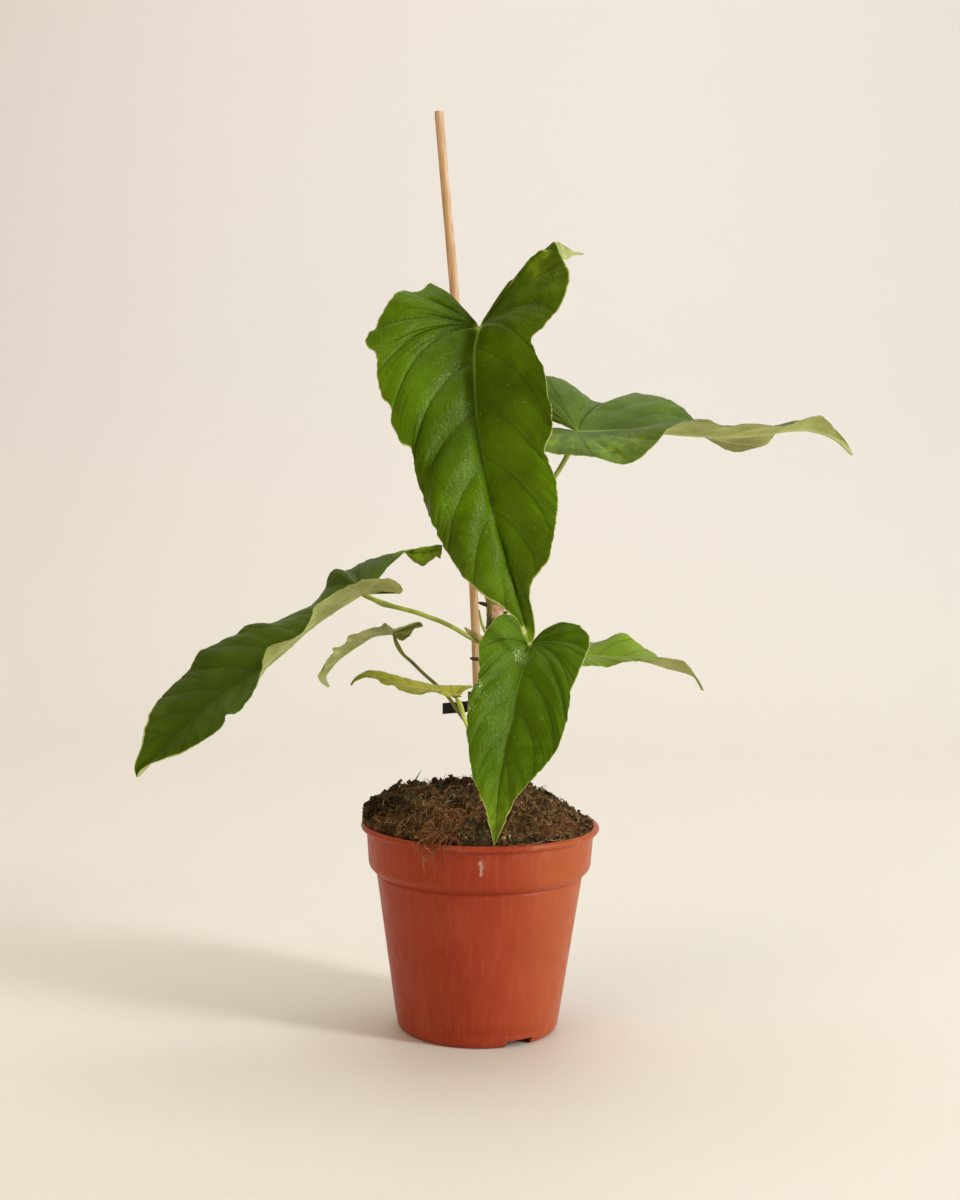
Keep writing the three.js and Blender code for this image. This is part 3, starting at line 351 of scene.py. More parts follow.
# Leaves, each with its stalk's route from inside the stem to the blade, and the knee's distance from the
# blade. patches are pale or dark places on the leaf: place, radius in mm, and how strong, dark below zero;
# dark ones darken the underside too. Some are painted sheen and some painted shade, as noted at each leaf.
LEAVES = [
    {
        "node": "leaf_front_large", "slot": "leaf",
        "blades": {"front_large_blade": FRONT_LARGE_BLADE, "front_large_lobe_end": FRONT_LARGE_LOBE_END},
        "stalk": [(8, -4, 222.5), (11, -8, 244), (11, -11, 276), (6.5, -14, 305.5), (1, -19, 334),
                  (-3, -27, 344), (-4, -33.5, 347.6)],
        "radius": 1.5, "knee": 12,
        # Patches: the small pale ones at (-51, -58, 331), (-36, -65, 288) and (-31, -66, 275) are painted
        # sheen, and the broad dark ones at (-22, -60, 300) and (12, -66, 330) are painted shade.
        "patches": [((21, -49, 374), 5, 0.8), ((26, -50, 380), 3.5, 0.7), ((28, -62, 366), 14, 0.25),
                    ((-51, -58, 331), 3.2, 0.6), ((-36, -65, 288), 4, 0.5), ((-31, -66, 275), 4, 0.35),
                    ((-22, -60, 300), 26, -0.28), ((12, -66, 330), 22, -0.2), ((-4, -34, 348), 2.4, 2.4),
                    ((22, -54, 198), 4.5, 3.0), ((20, -56, 204), 2.6, 2.2), ((18, -58, 207), 1.4, 2.0)],
    },
    {
        "node": "leaf_back_right", "slot": "leaf",
        "blades": {"back_right_blade": BACK_RIGHT_BLADE},
        "stalk": [(10, 1, 228.5), (14, 7, 240), (23, 16, 257.5), (32, 22, 273), (36, 25, 279),
                  (41.5, 28, 288.5), (45, 29, 297), (46.8, 30, 301)],
        "radius": 1.3, "knee": 10,
        # Patches: the pale ones over the near half are painted sheen; the dark one over the far half and the
        # strong dark one at (132, 58, 296), where the underside lies in shade, are painted shade.
        "patches": [((66, 2, 291), 18, 0.75), ((30, 2, 293), 14, 0.6), ((60, 50, 318), 26, -0.3),
                    ((132, 58, 296), 15, -1.3), ((47, 30, 301.5), 2, 1.8)],
    },
    {
        "node": "leaf_left_large", "slot": "leaf",
        "blades": {"left_large_blade": LEFT_LARGE_BLADE, "left_large_lobe_end": LEFT_LARGE_LOBE_END},
        "stalk": [(3.5, -5, 193.5), (-4.5, -9, 197), (-9.5, -11, 199.8), (-14, -12, 202.6), (-21, -13, 206),
                  (-26.5, -14, 208), (-32, -14, 210), (-43.5, -15, 213), (-49, -15, 214.4),
                  (-55, -15, 216.9), (-59.5, -15, 218.6)],
        "radius": 1.15, "knee": 11,
        "patches": [((-120, -40, 170), 30, -0.25), ((-150, -30, 160), 16, 0.2), ((-95, -53, 199), 14, -0.55),
                    ((-32, 21, 238), 12, 1.0)],
    },
    {
        "node": "leaf_back_left_small", "slot": "leaf",
        "blades": {"back_left_blade": BACK_LEFT_BLADE},
        "stalk": [(2.5, -3, 140), (-8, 2, 154), (-12, 2, 159.5), (-17, 6, 166), (-23, 10, 171.5),
                  (-30, 14, 177), (-37, 19, 183), (-41, 22, 186), (-44.5, 24, 191.5), (-46, 25, 196)],
        "radius": 0.9, "knee": 7,
        "patches": [],
    },
    {
        "node": "leaf_young", "slot": "young_leaf",
        "blades": {"young_blade": YOUNG_BLADE},
        "stalk": [(2.5, -5, 133.5), (-5, -8, 149), (-8.5, -9, 157), (-11, -10, 164.5), (-12.8, -10, 167.8)],
        "radius": 1.0, "knee": 5,
        "patches": [((-62, -11, 177), 7, 0.8), ((-48, -12, 178), 8, -0.3)],
    },
    {
        "node": "leaf_front_heart", "slot": "leaf",
        "blades": {"front_heart_blade": FRONT_HEART_BLADE},
        "stalk": [(4.7, -4, 168.5), (8, -9, 177), (14, -20, 188), (19, -31, 195), (22.3, -37.6, 197)],
        "radius": 1.3, "knee": 8,
        # Patches: the dark one over the right half at (34, -66, 190) is painted shade.
        "patches": [((7, -76, 118), 14, 0.45), ((34, -66, 190), 20, -0.2), ((20, -76, 150), 14, 0.2),
                    ((22.5, -38, 197), 1.8, 1.6)],
        "scuffs": [((15, -47, 193), 5.5), ((20, -47, 193), 4), ((-3, -65, 182), 3.2), ((-1, -66, 176), 3),
                   ((-5, -70, 171), 2.6)],
    },
    {
        "node": "leaf_right_small", "slot": "leaf",
        "blades": {"right_small_blade": RIGHT_SMALL_BLADE},
        "stalk": [(5, -3.4, 176), (10, -1.5, 182), (19, 1, 186.5), (34, 3, 188), (46.3, 4, 188)],
        "radius": 1.1, "knee": 7,
        "patches": [],
    },
]


def linear(code):
    """Linear colour with alpha of an sRGB hex code."""
    parts = [int(code[i:i + 2], 16) / 255 for i in (1, 3, 5)]
    return tuple(c / 12.92 if c <= 0.04045 else ((c + 0.055) / 1.055) ** 2.4 for c in parts) + (1.0,)


def smooth_step(values, low, high):
    """0 below low, 1 above high, and 3s^2 - 2s^3 of the share s in between."""
    share = np.clip((np.asarray(values, float) - low) / (high - low), 0, 1)
    return share * share * (3 - 2 * share)


def smooth_curve(points, steps=24):
    """Points on a curve through the given ones, and their distance along it. Each span is a cubic between two
    points, whose slopes come from the neighbours with knots spaced by the square root of the distance."""
    p = np.asarray(points, float)
    p = np.vstack([2 * p[0] - p[1], p, 2 * p[-1] - p[-2]])
    a, b, c, d = p[:-3], p[1:-2], p[2:-1], p[3:]
    k0, k1, k2 = (np.linalg.norm(v - u, axis=1)[:, None] ** 0.5 for u, v in ((a, b), (b, c), (c, d)))
    slope_b = (b - a) / k0 * k1 - (c - a) / (k0 + k1) * k1 + (c - b)
    slope_c = (c - b) - (d - b) / (k1 + k2) * k1 + (d - c) / k2 * k1
    t = np.linspace(0, 1, steps, endpoint=False)[None, :, None]
    b, c, slope_b, slope_c = (v[:, None, :] for v in (b, c, slope_b, slope_c))
    spans = b + slope_b * t + (3 * (c - b) - 2 * slope_b - slope_c) * t**2
    spans = spans + (2 * (b - c) + slope_b + slope_c) * t**3
    path = np.vstack([spans.reshape(-1, 3), p[-2]])
    return path, np.r_[0, np.cumsum(np.linalg.norm(np.diff(path, axis=0), axis=1))]


def at_share(curve, share):
    """Points at the given shares of a curve's length."""
    path, reach = curve
    place = np.asarray(share) * reach[-1]
    return np.stack([np.interp(place, reach, path[:, k]) for k in range(3)], -1)


def unit(vectors):
    """Vectors scaled to length 1."""
    return vectors / np.maximum(np.linalg.norm(vectors, axis=-1, keepdims=True), 1e-9)


def noise(points, cell, seed):
    """Value noise from -1 to 1: random values on a cubic lattice, blended by a smooth step in each cell."""
    table = np.random.default_rng(seed).uniform(-1, 1, (32, 32, 32))
    place = np.asarray(points, float) / cell
    low = np.floor(place).astype(int)
    share = smooth_step(place - low, 0, 1)
    total = 0
    for corner in np.ndindex(2, 2, 2):
        i, j, k = np.moveaxis((low + corner) % 32, -1, 0)
        total = total + table[i, j, k] * np.prod(np.where(corner, share, 1 - share), axis=-1)
    return total


def grid_faces(rows, columns, closed=True):
    """Four-sided faces of a grid counted row by row; closed joins the last column to the first."""
    i, j = np.meshgrid(np.arange(rows - 1), np.arange(columns if closed else columns - 1), indexing="ij")
    k = (j + 1) % columns
    corners = [i * columns + j, i * columns + k, (i + 1) * columns + k, (i + 1) * columns + j]
    return np.stack(corners, -1).reshape(-1, 4)


def point_normals(points, faces):
    """Unit normal at each point: the sum of the normals of the faces round it, weighted by their size."""
    diagonals = np.cross(points[faces[:, 2]] - points[faces[:, 0]], points[faces[:, 3]] - points[faces[:, 1]])
    total = np.zeros_like(points)
    for corner in range(4):
        for axis in range(3):
            total[:, axis] += np.bincount(faces[:, corner], diagonals[:, axis], len(points))
    return unit(total)


def closed_rings(rings, start, end):
    """Closed shape of a stack of rings of points, with a fan of triangles to a point at each end."""
    rows, columns = rings.shape[:2]
    last = (rows - 1) * columns
    j = np.arange(columns)
    k = (j + 1) % columns
    pole = np.full(columns, rows * columns)
    caps = np.vstack([np.stack([pole, k, j, j], -1), np.stack([pole + 1, last + j, last + k, last + k], -1)])
    return {
        "points": np.vstack([rings.reshape(-1, 3), start, end]),
        "faces": np.vstack([grid_faces(rows, columns), caps]),
        "values": {},
    }


def tube(route, radius, rings, sides, squash=1.0):
    """Closed round tube along a smooth curve. radius is a function of the share of its length and the
    distance in mm; each ring is a circle across the curve's direction, narrower by squash along one axis."""
    curve = smooth_curve(route)
    share = np.linspace(0, 1, rings)
    centre = at_share(curve, share)
    ahead = unit(np.gradient(centre, axis=0))
    across = unit(np.cross(ahead, (0, 1, 0)))
    up = np.cross(ahead, across)
    size = np.asarray(radius(share, share * curve[1][-1])) * np.ones(rings)
    angle = np.linspace(0, 2 * np.pi, sides, endpoint=False)[:, None]
    ring = across[:, None] * np.cos(angle) + squash * up[:, None] * np.sin(angle)
    return closed_rings(centre[:, None] + ring * size[:, None, None], centre[0], centre[-1])


def joined(shapes):
    """Several shapes as one, with the same named values."""
    counts = np.cumsum([0] + [len(shape["points"]) for shape in shapes])
    return {
        "points": np.vstack([shape["points"] for shape in shapes]),
        "faces": np.vstack([shape["faces"] + count for shape, count in zip(shapes, counts)]),
        "values": {
            name: np.concatenate([shape["values"][name] for shape in shapes]) for name in shapes[0]["values"]
        },
    }


def make_piece(name, shape, materials, replaces, sharp=50):
    """Object from a shape: points in mm, faces of four corners (a repeated corner makes a triangle), a number
    for each point under a name, and the material's number for each face. Edges past sharp degrees stay."""
    points, faces = shape["points"], shape["faces"]
    repeated = faces == np.roll(faces, -1, axis=1)
    kept = faces[repeated.sum(axis=1) <= 1]
    repeated = repeated[repeated.sum(axis=1) <= 1]
    counts = 4 - repeated.sum(axis=1)
    corners = kept[~repeated]
    mesh = bpy.data.meshes.new(name)
    mesh.vertices.add(len(points))
    mesh.vertices.foreach_set("co", (points * MM).astype(np.float32).ravel())
    mesh.loops.add(len(corners))
    mesh.loops.foreach_set("vertex_index", corners.astype(np.int32))
    mesh.polygons.add(len(kept))
    mesh.polygons.foreach_set("loop_start", np.r_[0, np.cumsum(counts)[:-1]].astype(np.int32))
    mesh.polygons.foreach_set("loop_total", counts.astype(np.int32))
    for value_name, values in shape["values"].items():
        layer = mesh.attributes.new(value_name, "FLOAT", "POINT")
        layer.data.foreach_set("value", np.asarray(values, np.float32))
    for material in materials:
        mesh.materials.append(material)
    if "material" in shape:
        numbers = shape["material"][(faces == np.roll(faces, -1, axis=1)).sum(axis=1) <= 1]
        mesh.polygons.foreach_set("material_index", numbers.astype(np.int32))
    mesh.update(calc_edges=True)
    mesh.validate()
    mesh.shade_smooth()
    mesh.set_sharp_from_angle(angle=math.radians(sharp))
    piece = bpy.data.objects.new(name, mesh)
    bpy.context.scene.collection.objects.link(piece)
    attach(piece, "root")
    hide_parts(replaces)
    return piece


def half_blade(blade, side):
    """Half of a blade as rows of points, each row a vein from the midrib to the margin at share r of its
    length: P = foot + vein r + notchward r(1-r) + up 4 dome r(1-r). The first rows fan out from the stalk's
    end, the others leave the midrib at even steps. Also the row's margin share t, and r on the grid."""
    half = blade[side]
    turn = 1 if side == "left" else -1
    fan_rows, body_rows, columns = blade["grid"]
    midrib = smooth_curve(blade["midrib"], 40)
    margin = smooth_curve([blade["midrib"][0], *half["margin"], blade["midrib"][-1]], 40)
    along = np.r_[np.zeros(fan_rows - 1), np.linspace(0, 1, body_rows + 1)]
    fan = half["fan"]
    body_t = fan + (1 - fan) * np.linspace(0, 1, body_rows + 1)**0.9
    t = np.r_[fan * np.arange(1, fan_rows) / fan_rows, body_t]
    foot = at_share(midrib, along)
    edge = at_share(margin, t)
    wobble = np.stack([noise(edge, 3.2, SEED + axis) + 0.6 * noise(edge, 1.3, SEED + 3 + axis)
                       for axis in range(3)], -1)
    edge = edge + 0.42 * wobble * (smooth_step(t, 0.0, 0.05) * (1 - smooth_step(t, 0.9, 0.97)))[:, None]
    vein = edge - foot
    before = np.vstack([edge[:1], edge[:-1]])
    after = np.vstack([edge[1:], edge[-1:]])
    faces = turn * np.cross(vein, after - before)
    weight = np.exp(-0.5 * ((t[:, None] - t[None, :]) / 0.045)**2)
    up = unit(weight @ faces)
    ramp = smooth_step((t - 0.12) / (fan - 0.04), 0, 1)
    fade = np.minimum((1 - t) / 0.3, 1)**0.8
    notchward = np.cross(vein, up) * (turn * half["sweep"] * ramp * fade)[:, None]
    dome = np.interp(t, np.linspace(0, 1, len(half["dome"])), half["dome"])
    r = (np.arange(columns + 1) / columns)**1.25
    arch = (r * (1 - r))[None, :, None]
    points = foot[:, None] + vein[:, None] * r[None, :, None] + notchward[:, None] * arch
    points = points + up[:, None] * (4 * dome)[:, None, None] * arch
    return points, t[:, None] * np.ones_like(r), r[None, :] * np.ones((len(t), 1))


def vein_values(half, points, t, r):
    """For half a blade: phase counts the side veins passed on the way from notch to tip, and gap is the
    distance in mm between the two veins on either side."""
    stops = np.r_[0, half["veins"], 1]
    stray = 0.007 * noise(points, 11.0, SEED + 9) * smooth_step(r, 0.05, 0.3)
    place = np.clip(t + half["drift"] * (1 - r) * smooth_step(t, 0.15, 0.5) + stray, 0, 1)
    phase = np.interp(place, stops, np.arange(len(stops)))
    step = np.linalg.norm(np.gradient(points, axis=0), axis=-1)
    turn = np.maximum(np.gradient(phase, axis=0), 1e-4)
    gap = step / turn
    return phase, np.clip(gap, 0.05, 60)


def blade_shape(blade, patches, scuffs):
    """Thin closed blade: both halves share the midrib, the tissue swells between the side veins as
    quilt sin(pi s)^0.75, s the share between two veins, and the lower face bears a rib along each vein."""
    fan_rows, body_rows, columns = blade["grid"]
    rows = fan_rows + body_rows
    spine = np.r_[np.zeros(fan_rows - 1, int), np.arange(body_rows + 1)]
    count = body_rows + 1
    points = np.zeros((count + 2 * rows * columns, 3))
    values = {name: np.zeros(len(points)) for name in ("phase", "gap", "across", "share", "swell")}
    faces = []
    for number, side in enumerate(("left", "right")):
        place, t, r = half_blade(blade, side)
        phase, gap = vein_values(blade[side], place, t, r)
        inner = count + number * rows * columns + np.arange(rows * columns).reshape(rows, columns)
        ids = np.hstack([spine[:, None], inner])
        ids[-1, :] = body_rows
        s = phase - np.floor(phase)
        size = np.minimum(gap / 12, 1) * smooth_step(r, 0.0, 0.16) * (1 - 0.65 * smooth_step(r, 0.7, 1))
        size = size * smooth_step(t, 0.02, 0.1) * (1 - smooth_step(t, 0.82, 0.97))
        lobe = np.sin(np.pi * s)**0.75
        swell = blade["quilt"] * blade[side].get("relief", 1.0) * size * lobe
        uneven = noise(place, 9.0, SEED + 7) + 0.5 * noise(place, 4.2, SEED + 8)
        swell = swell + 0.22 * uneven * smooth_step(r, 0.02, 0.15) * (1 - smooth_step(t, 0.95, 1.0))
        for name, value in (("phase", phase), ("gap", gap), ("across", r), ("share", t), ("swell", swell)):
            values[name][ids] = value
        points[ids] = place
        quads = np.stack([ids[:-1, :-1], ids[:-1, 1:], ids[1:, 1:], ids[1:, :-1]], -1).reshape(-1, 4)
        faces.append(quads if side == "left" else quads[:, ::-1])
    values["swell"][:count] = 0
    values["gap"][:count] = 60
    faces = np.vstack(faces)
    distinct = np.array([faces[:, 0] != faces[:, 2], faces[:, 1] != faces[:, 3]]).all(axis=0)
    faces = faces[distinct]
    normals = point_normals(points, faces)
    edges = np.vstack([np.stack([faces[:, k], faces[:, (k + 1) % 4]], -1) for k in range(4)])
    edges = edges[edges[:, 0] != edges[:, 1]]
    keys = edges.min(axis=1) * len(points) + edges.max(axis=1)
    _, first, number = np.unique(keys, return_index=True, return_counts=True)
    rim = edges[first[number == 1]]
    on_rim = np.zeros(len(points), bool)
    on_rim[rim.ravel()] = True
    from_vein = (0.5 - np.abs(values["phase"] % 1 - 0.5)) * values["gap"]
    toward = 1 - smooth_step(values["across"], 0.0, 0.045)
    rib = 0.28 * np.exp(-(from_vein / 0.8)**2) * (1 - values["across"])**0.7 + 0.55 * toward
    rib = rib * smooth_step(values["gap"], 0.5, 4)
    depth = np.where(on_rim, BLADE_EDGE_THICKNESS, BLADE_THICKNESS) * (1 - 0.55 * values["across"])
    upper = points + normals * (depth / 2 + values["swell"])[:, None]
    lower = points - normals * (depth / 2 + rib - values["swell"])[:, None]
    total = len(points)
    wall = np.stack([rim[:, 1], rim[:, 0], rim[:, 0] + total, rim[:, 1] + total], -1)
    patch = np.zeros(total)
    for centre, radius, strength in patches:
        patch += strength * np.exp(-(np.linalg.norm(points - centre, axis=1) / radius)**2)
    values["patch"] = patch
    scuff = np.zeros(total)
    for centre, radius in scuffs:
        scuff += np.exp(-(np.linalg.norm(points - centre, axis=1) / radius)**2)
    values["scuff"] = scuff
    values["rim"] = on_rim.astype(float)
    return {
        "points": np.vstack([upper, lower]),
        "faces": np.vstack([faces, (faces + total)[:, ::-1], wall]),
        "values": {name: np.r_[value, value] for name, value in values.items()},
        "material": np.r_[np.zeros(len(faces)), np.ones(len(faces)), np.zeros(len(wall))],
    }


def add(tree, kind, inputs=(), stops=None, **settings):
    """Adds a node with its settings, its ramp's stops as (place, colour), and its inputs by name or number.
    An input is a value to set, or a socket to link from."""
    node = tree.nodes.new(kind)
    for name, value in settings.items():
        setattr(node, name, value)
    if stops:
        elements = node.color_ramp.elements
        while len(elements) < len(stops):
            elements.new(1)
        for element, (place, colour) in zip(elements, stops):
            element.position = place
            element.color = linear(colour)
    for name, value in dict(inputs).items():
        if isinstance(value, bpy.types.NodeSocket):
            tree.links.new(value, node.inputs[name])
        else:
            node.inputs[name].default_value = value
    return node


def start_material(name):
    """New node material: its tree with nothing in it but the output, and the output."""
    material = bpy.data.materials.new(name)
    material.use_nodes = True
    tree = material.node_tree
    tree.nodes.clear()
    return material, tree, tree.nodes.new("ShaderNodeOutputMaterial")


# Input and output numbers of a colour Mix node
FACTOR, FIRST, SECOND, RESULT = 0, 6, 7, 2


def mixed(tree, factor, first, second):
    """Colour socket that goes from the first colour to the second by the factor."""
    values = [linear(value) if isinstance(value, str) else value for value in (first, second)]
    inputs = {FACTOR: factor, FIRST: values[0], SECOND: values[1]}
    return add(tree, "ShaderNodeMix", inputs, data_type="RGBA").outputs[RESULT]


def mapped(tree, value, low, high, to_low=0.0, to_high=1.0):
    """Number socket that goes smoothly from to_low to to_high as the value goes from low to high."""
    inputs = {"Value": value, 1: low, 2: high, 3: to_low, 4: to_high}
    return add(tree, "ShaderNodeMapRange", inputs, interpolation_type="SMOOTHSTEP").outputs[0]


def attribute(tree, name):
    """Number socket that reads a value kept at each point of the piece."""
    return add(tree, "ShaderNodeAttribute", attribute_name=name).outputs["Fac"]


def leaf_upper(name, deep, light, vein, vein_strength, roughness):
    """Upper face of a living leaf, grown: cuticle wax over green tissue gives a satin gloss; colour drifts
    softly, veins are fine pale lines in furrows darkened with painted shade, some pale and dark patches are
    painted sheen and painted shade, and the margin is a thin pale thread. IOR 1.45."""
    material, tree, output = start_material(name)
    place = add(tree, "ShaderNodeTexCoord").outputs["Object"]
    drift = add(tree, "ShaderNodeTexNoise", {"Vector": place, "Scale": 1 / (30 * MM), "Detail": 3.0})
    mottle = add(tree, "ShaderNodeTexNoise", {"Vector": place, "Scale": 1 / (5 * MM), "Detail": 4.0})
    tissue = mixed(tree, mapped(tree, drift.outputs[0], 0.35, 0.68), deep, light)
    tissue = mixed(tree, mapped(tree, mottle.outputs[0], 0.4, 0.75, 0.0, 0.35), tissue, light)
    phase = attribute(tree, "phase")
    fold = add(tree, "ShaderNodeMath", {0: phase, 1: 0.5}, operation="PINGPONG").outputs[0]
    apart = add(tree, "ShaderNodeMath", {0: fold, 1: attribute(tree, "gap")}, operation="MULTIPLY").outputs[0]
    across = attribute(tree, "across")
    share = attribute(tree, "share")
    # Painted shade: the tissue turns darker along each side vein, as shade in its furrow.
    furrow = mapped(tree, apart, 0.1, 1.0, 0.7, 0.0)
    tissue = mixed(tree, furrow, tissue, mixed(tree, 0.6, tissue, "#1d3000"))
    line = mapped(tree, apart, 0.08, 0.4, vein_strength, 0.0)
    fading = mapped(tree, across, 0.1, 0.8, 1.0, 0.1)
    early = mapped(tree, share, 0.35, 0.6, 1.0, 0.25)
    line = add(tree, "ShaderNodeMath", {0: line, 1: fading}, operation="MULTIPLY").outputs[0]
    line = add(tree, "ShaderNodeMath", {0: line, 1: early}, operation="MULTIPLY").outputs[0]
    tissue = mixed(tree, line, tissue, vein)
    middle = mapped(tree, across, 0.004, 0.02, 1.0, 0.0)
    middle = add(tree, "ShaderNodeMath", {0: middle, 1: mapped(tree, share, 0.42, 0.72, 0.95, 0.15)},
                 operation="MULTIPLY").outputs[0]
    tissue = mixed(tree, middle, tissue, vein)
    uneven = mapped(tree, mottle.outputs[0], 0.4, 0.6, 0.55, 1.35)
    # Patches: pale joints and yellowed tips are the leaf's own colour; others are painted sheen and painted
    # shade, as noted with each leaf.
    patch = add(tree, "ShaderNodeMath", {0: attribute(tree, "patch"), 1: uneven},
                operation="MULTIPLY").outputs[0]
    tissue = mixed(tree, mapped(tree, patch, 0.0, 1.0, 0.0, 0.7), tissue, "#86a322")
    tissue = mixed(tree, mapped(tree, patch, 0.0, -0.6, 0.0, 0.6), tissue, "#2c4a06")
    tissue = mixed(tree, mapped(tree, patch, 1.1, 2.0, 0.0, 0.85), tissue, "#c9cb8c")
    specks = add(tree, "ShaderNodeTexVoronoi", {"Vector": place, "Scale": 1 / (7 * MM)}).outputs["Distance"]
    tissue = mixed(tree, mapped(tree, specks, 0.03, 0.07, 0.45, 0.0), tissue, "#b4bf78")
    scratch = add(tree, "ShaderNodeMapping", {
        "Vector": place, "Rotation": (0.3, 0.5, 0.2), "Scale": (2.6, 1.6, 0.7),
    }).outputs[0]
    scratch = add(tree, "ShaderNodeTexNoise", {
        "Vector": scratch, "Scale": 1 / (1.1 * MM), "Detail": 3.0,
    }).outputs[0]
    scraped = add(tree, "ShaderNodeMath", {0: mapped(tree, scratch, 0.55, 0.6), 1: attribute(tree, "scuff")},
                  operation="MULTIPLY").outputs[0]
    tissue = mixed(tree, mapped(tree, scraped, 0.3, 0.8, 0.0, 0.75), tissue, "#c4cf9a")
    rim = add(tree, "ShaderNodeMath", {0: mapped(tree, share, 0.78, 0.97, 0.0, 0.07), 1: across},
              operation="ADD").outputs[0]
    colour = mixed(tree, mapped(tree, rim, 0.984, 0.998, 0.0, 0.85), tissue, "#c0c673")
    net = add(tree, "ShaderNodeTexVoronoi", {"Vector": place, "Scale": 1 / (2.2 * MM)},
              feature="DISTANCE_TO_EDGE")
    cells = add(tree, "ShaderNodeTexNoise", {"Vector": place, "Scale": 1 / (0.7 * MM), "Detail": 2.0})
    relief = add(tree, "ShaderNodeMath", {0: mapped(tree, net.outputs[0], 0.0, 0.16), 1: cells.outputs[0]},
                 operation="ADD").outputs[0]
    crossing = add(tree, "ShaderNodeMapping", {
        "Vector": add(tree, "ShaderNodeCombineXYZ", {0: across, 1: phase}).outputs[0], "Scale": (20, 2.4, 1),
    }).outputs[0]
    ripple = add(tree, "ShaderNodeTexNoise", {"Vector": crossing, "Scale": 1.0, "Detail": 1.0}).outputs[0]
    ripple = add(tree, "ShaderNodeMath", {0: mapped(tree, ripple, 0.3, 0.7), 1: 0.75},
                 operation="MULTIPLY").outputs[0]
    relief = add(tree, "ShaderNodeMath", {0: relief, 1: ripple}, operation="ADD").outputs[0]
    bump = add(tree, "ShaderNodeBump", {"Height": relief, "Strength": 0.36, "Distance": 0.25 * MM})
    wax = add(tree, "ShaderNodeMapRange", {"Value": mottle.outputs[0], 1: 0.3, 2: 0.7,
                                           3: roughness - 0.05, 4: roughness + 0.07}).outputs[0]
    shader = add(tree, "ShaderNodeBsdfPrincipled", {
        "Base Color": colour, "Roughness": wax, "IOR": 1.45, "Specular IOR Level": 0.19,
        "Specular Tint": linear("#f2f0b4"), "Normal": bump.outputs[0],
    })
    tree.links.new(shader.outputs[0], output.inputs[0])
    return material


def leaf_under(name, deep, light, rib):
    """Underside of a living leaf, grown: paler and duller than the upper face, with raised yellowish ribs.
    Not a metal, IOR 1.45."""
    material, tree, output = start_material(name)
    place = add(tree, "ShaderNodeTexCoord").outputs["Object"]
    drift = add(tree, "ShaderNodeTexNoise", {"Vector": place, "Scale": 1 / (16 * MM), "Detail": 4.0})
    tissue = mixed(tree, mapped(tree, drift.outputs[0], 0.35, 0.7), deep, light)
    fold = add(tree, "ShaderNodeMath", {0: attribute(tree, "phase"), 1: 0.5}, operation="PINGPONG").outputs[0]
    apart = add(tree, "ShaderNodeMath", {0: fold, 1: attribute(tree, "gap")}, operation="MULTIPLY").outputs[0]
    # Painted shade: below zero the patch darkens the underside to olive, strongest under the back right
    # leaf's far half.
    tissue = mixed(tree, mapped(tree, attribute(tree, "patch"), 0.0, -0.8, 0.0, 0.8), tissue, "#6c6e16")
    tissue = mixed(tree, mapped(tree, apart, 0.2, 0.9, 0.6, 0.0), tissue, rib)
    tissue = mixed(tree, mapped(tree, attribute(tree, "across"), 0.01, 0.05, 0.8, 0.0), tissue, rib)
    net = add(tree, "ShaderNodeTexVoronoi", {"Vector": place, "Scale": 1 / (2.2 * MM)},
              feature="DISTANCE_TO_EDGE")
    netted = mapped(tree, net.outputs[0], 0.0, 0.1, 0.3, 0.0)
    tissue = mixed(tree, netted, tissue, light)
    bump = add(tree, "ShaderNodeBump", {"Height": mapped(tree, net.outputs[0], 0.0, 0.16, 1.0, 0.0),
                                        "Strength": 0.2, "Distance": 0.25 * MM})
    shader = add(tree, "ShaderNodeBsdfPrincipled", {
        "Base Color": tissue, "Roughness": 0.58, "IOR": 1.45, "Specular IOR Level": 0.4,
        "Normal": bump.outputs[0],
    })
    tree.links.new(shader.outputs[0], output.inputs[0])
    return material


def two_tone(name, deep, light, size, roughness, bump_size, bump_height, stretch=(1, 1, 1), level=0.5):
    """Matt to satin surface whose colour drifts between two tones over size mm, with a grain of bump_size mm
    that stands bump_height mm proud. stretch scales the pattern along each axis. Not a metal, and the IOR
    stays at 1.5, as is typical for wood, peat, plant skin and soft plastic."""
    material, tree, output = start_material(name)
    place = add(tree, "ShaderNodeMapping", {
        "Vector": add(tree, "ShaderNodeTexCoord").outputs["Object"], "Scale": stretch,
    }).outputs[0]
    drift = add(tree, "ShaderNodeTexNoise", {"Vector": place, "Scale": 1 / (size * MM), "Detail": 4.0})
    grain = add(tree, "ShaderNodeTexNoise", {"Vector": place, "Scale": 1 / (bump_size * MM), "Detail": 3.0})
    colour = mixed(tree, mapped(tree, drift.outputs[0], 0.36, 0.66), deep, light)
    bump = add(tree, "ShaderNodeBump", {
        "Height": grain.outputs[0], "Strength": 0.6, "Distance": bump_height * MM,
    })
    shader = add(tree, "ShaderNodeBsdfPrincipled", {
        "Base Color": colour, "Roughness": roughness, "Specular IOR Level": level, "Normal": bump.outputs[0],
    })
    tree.links.new(shader.outputs[0], output.inputs[0])
    return material


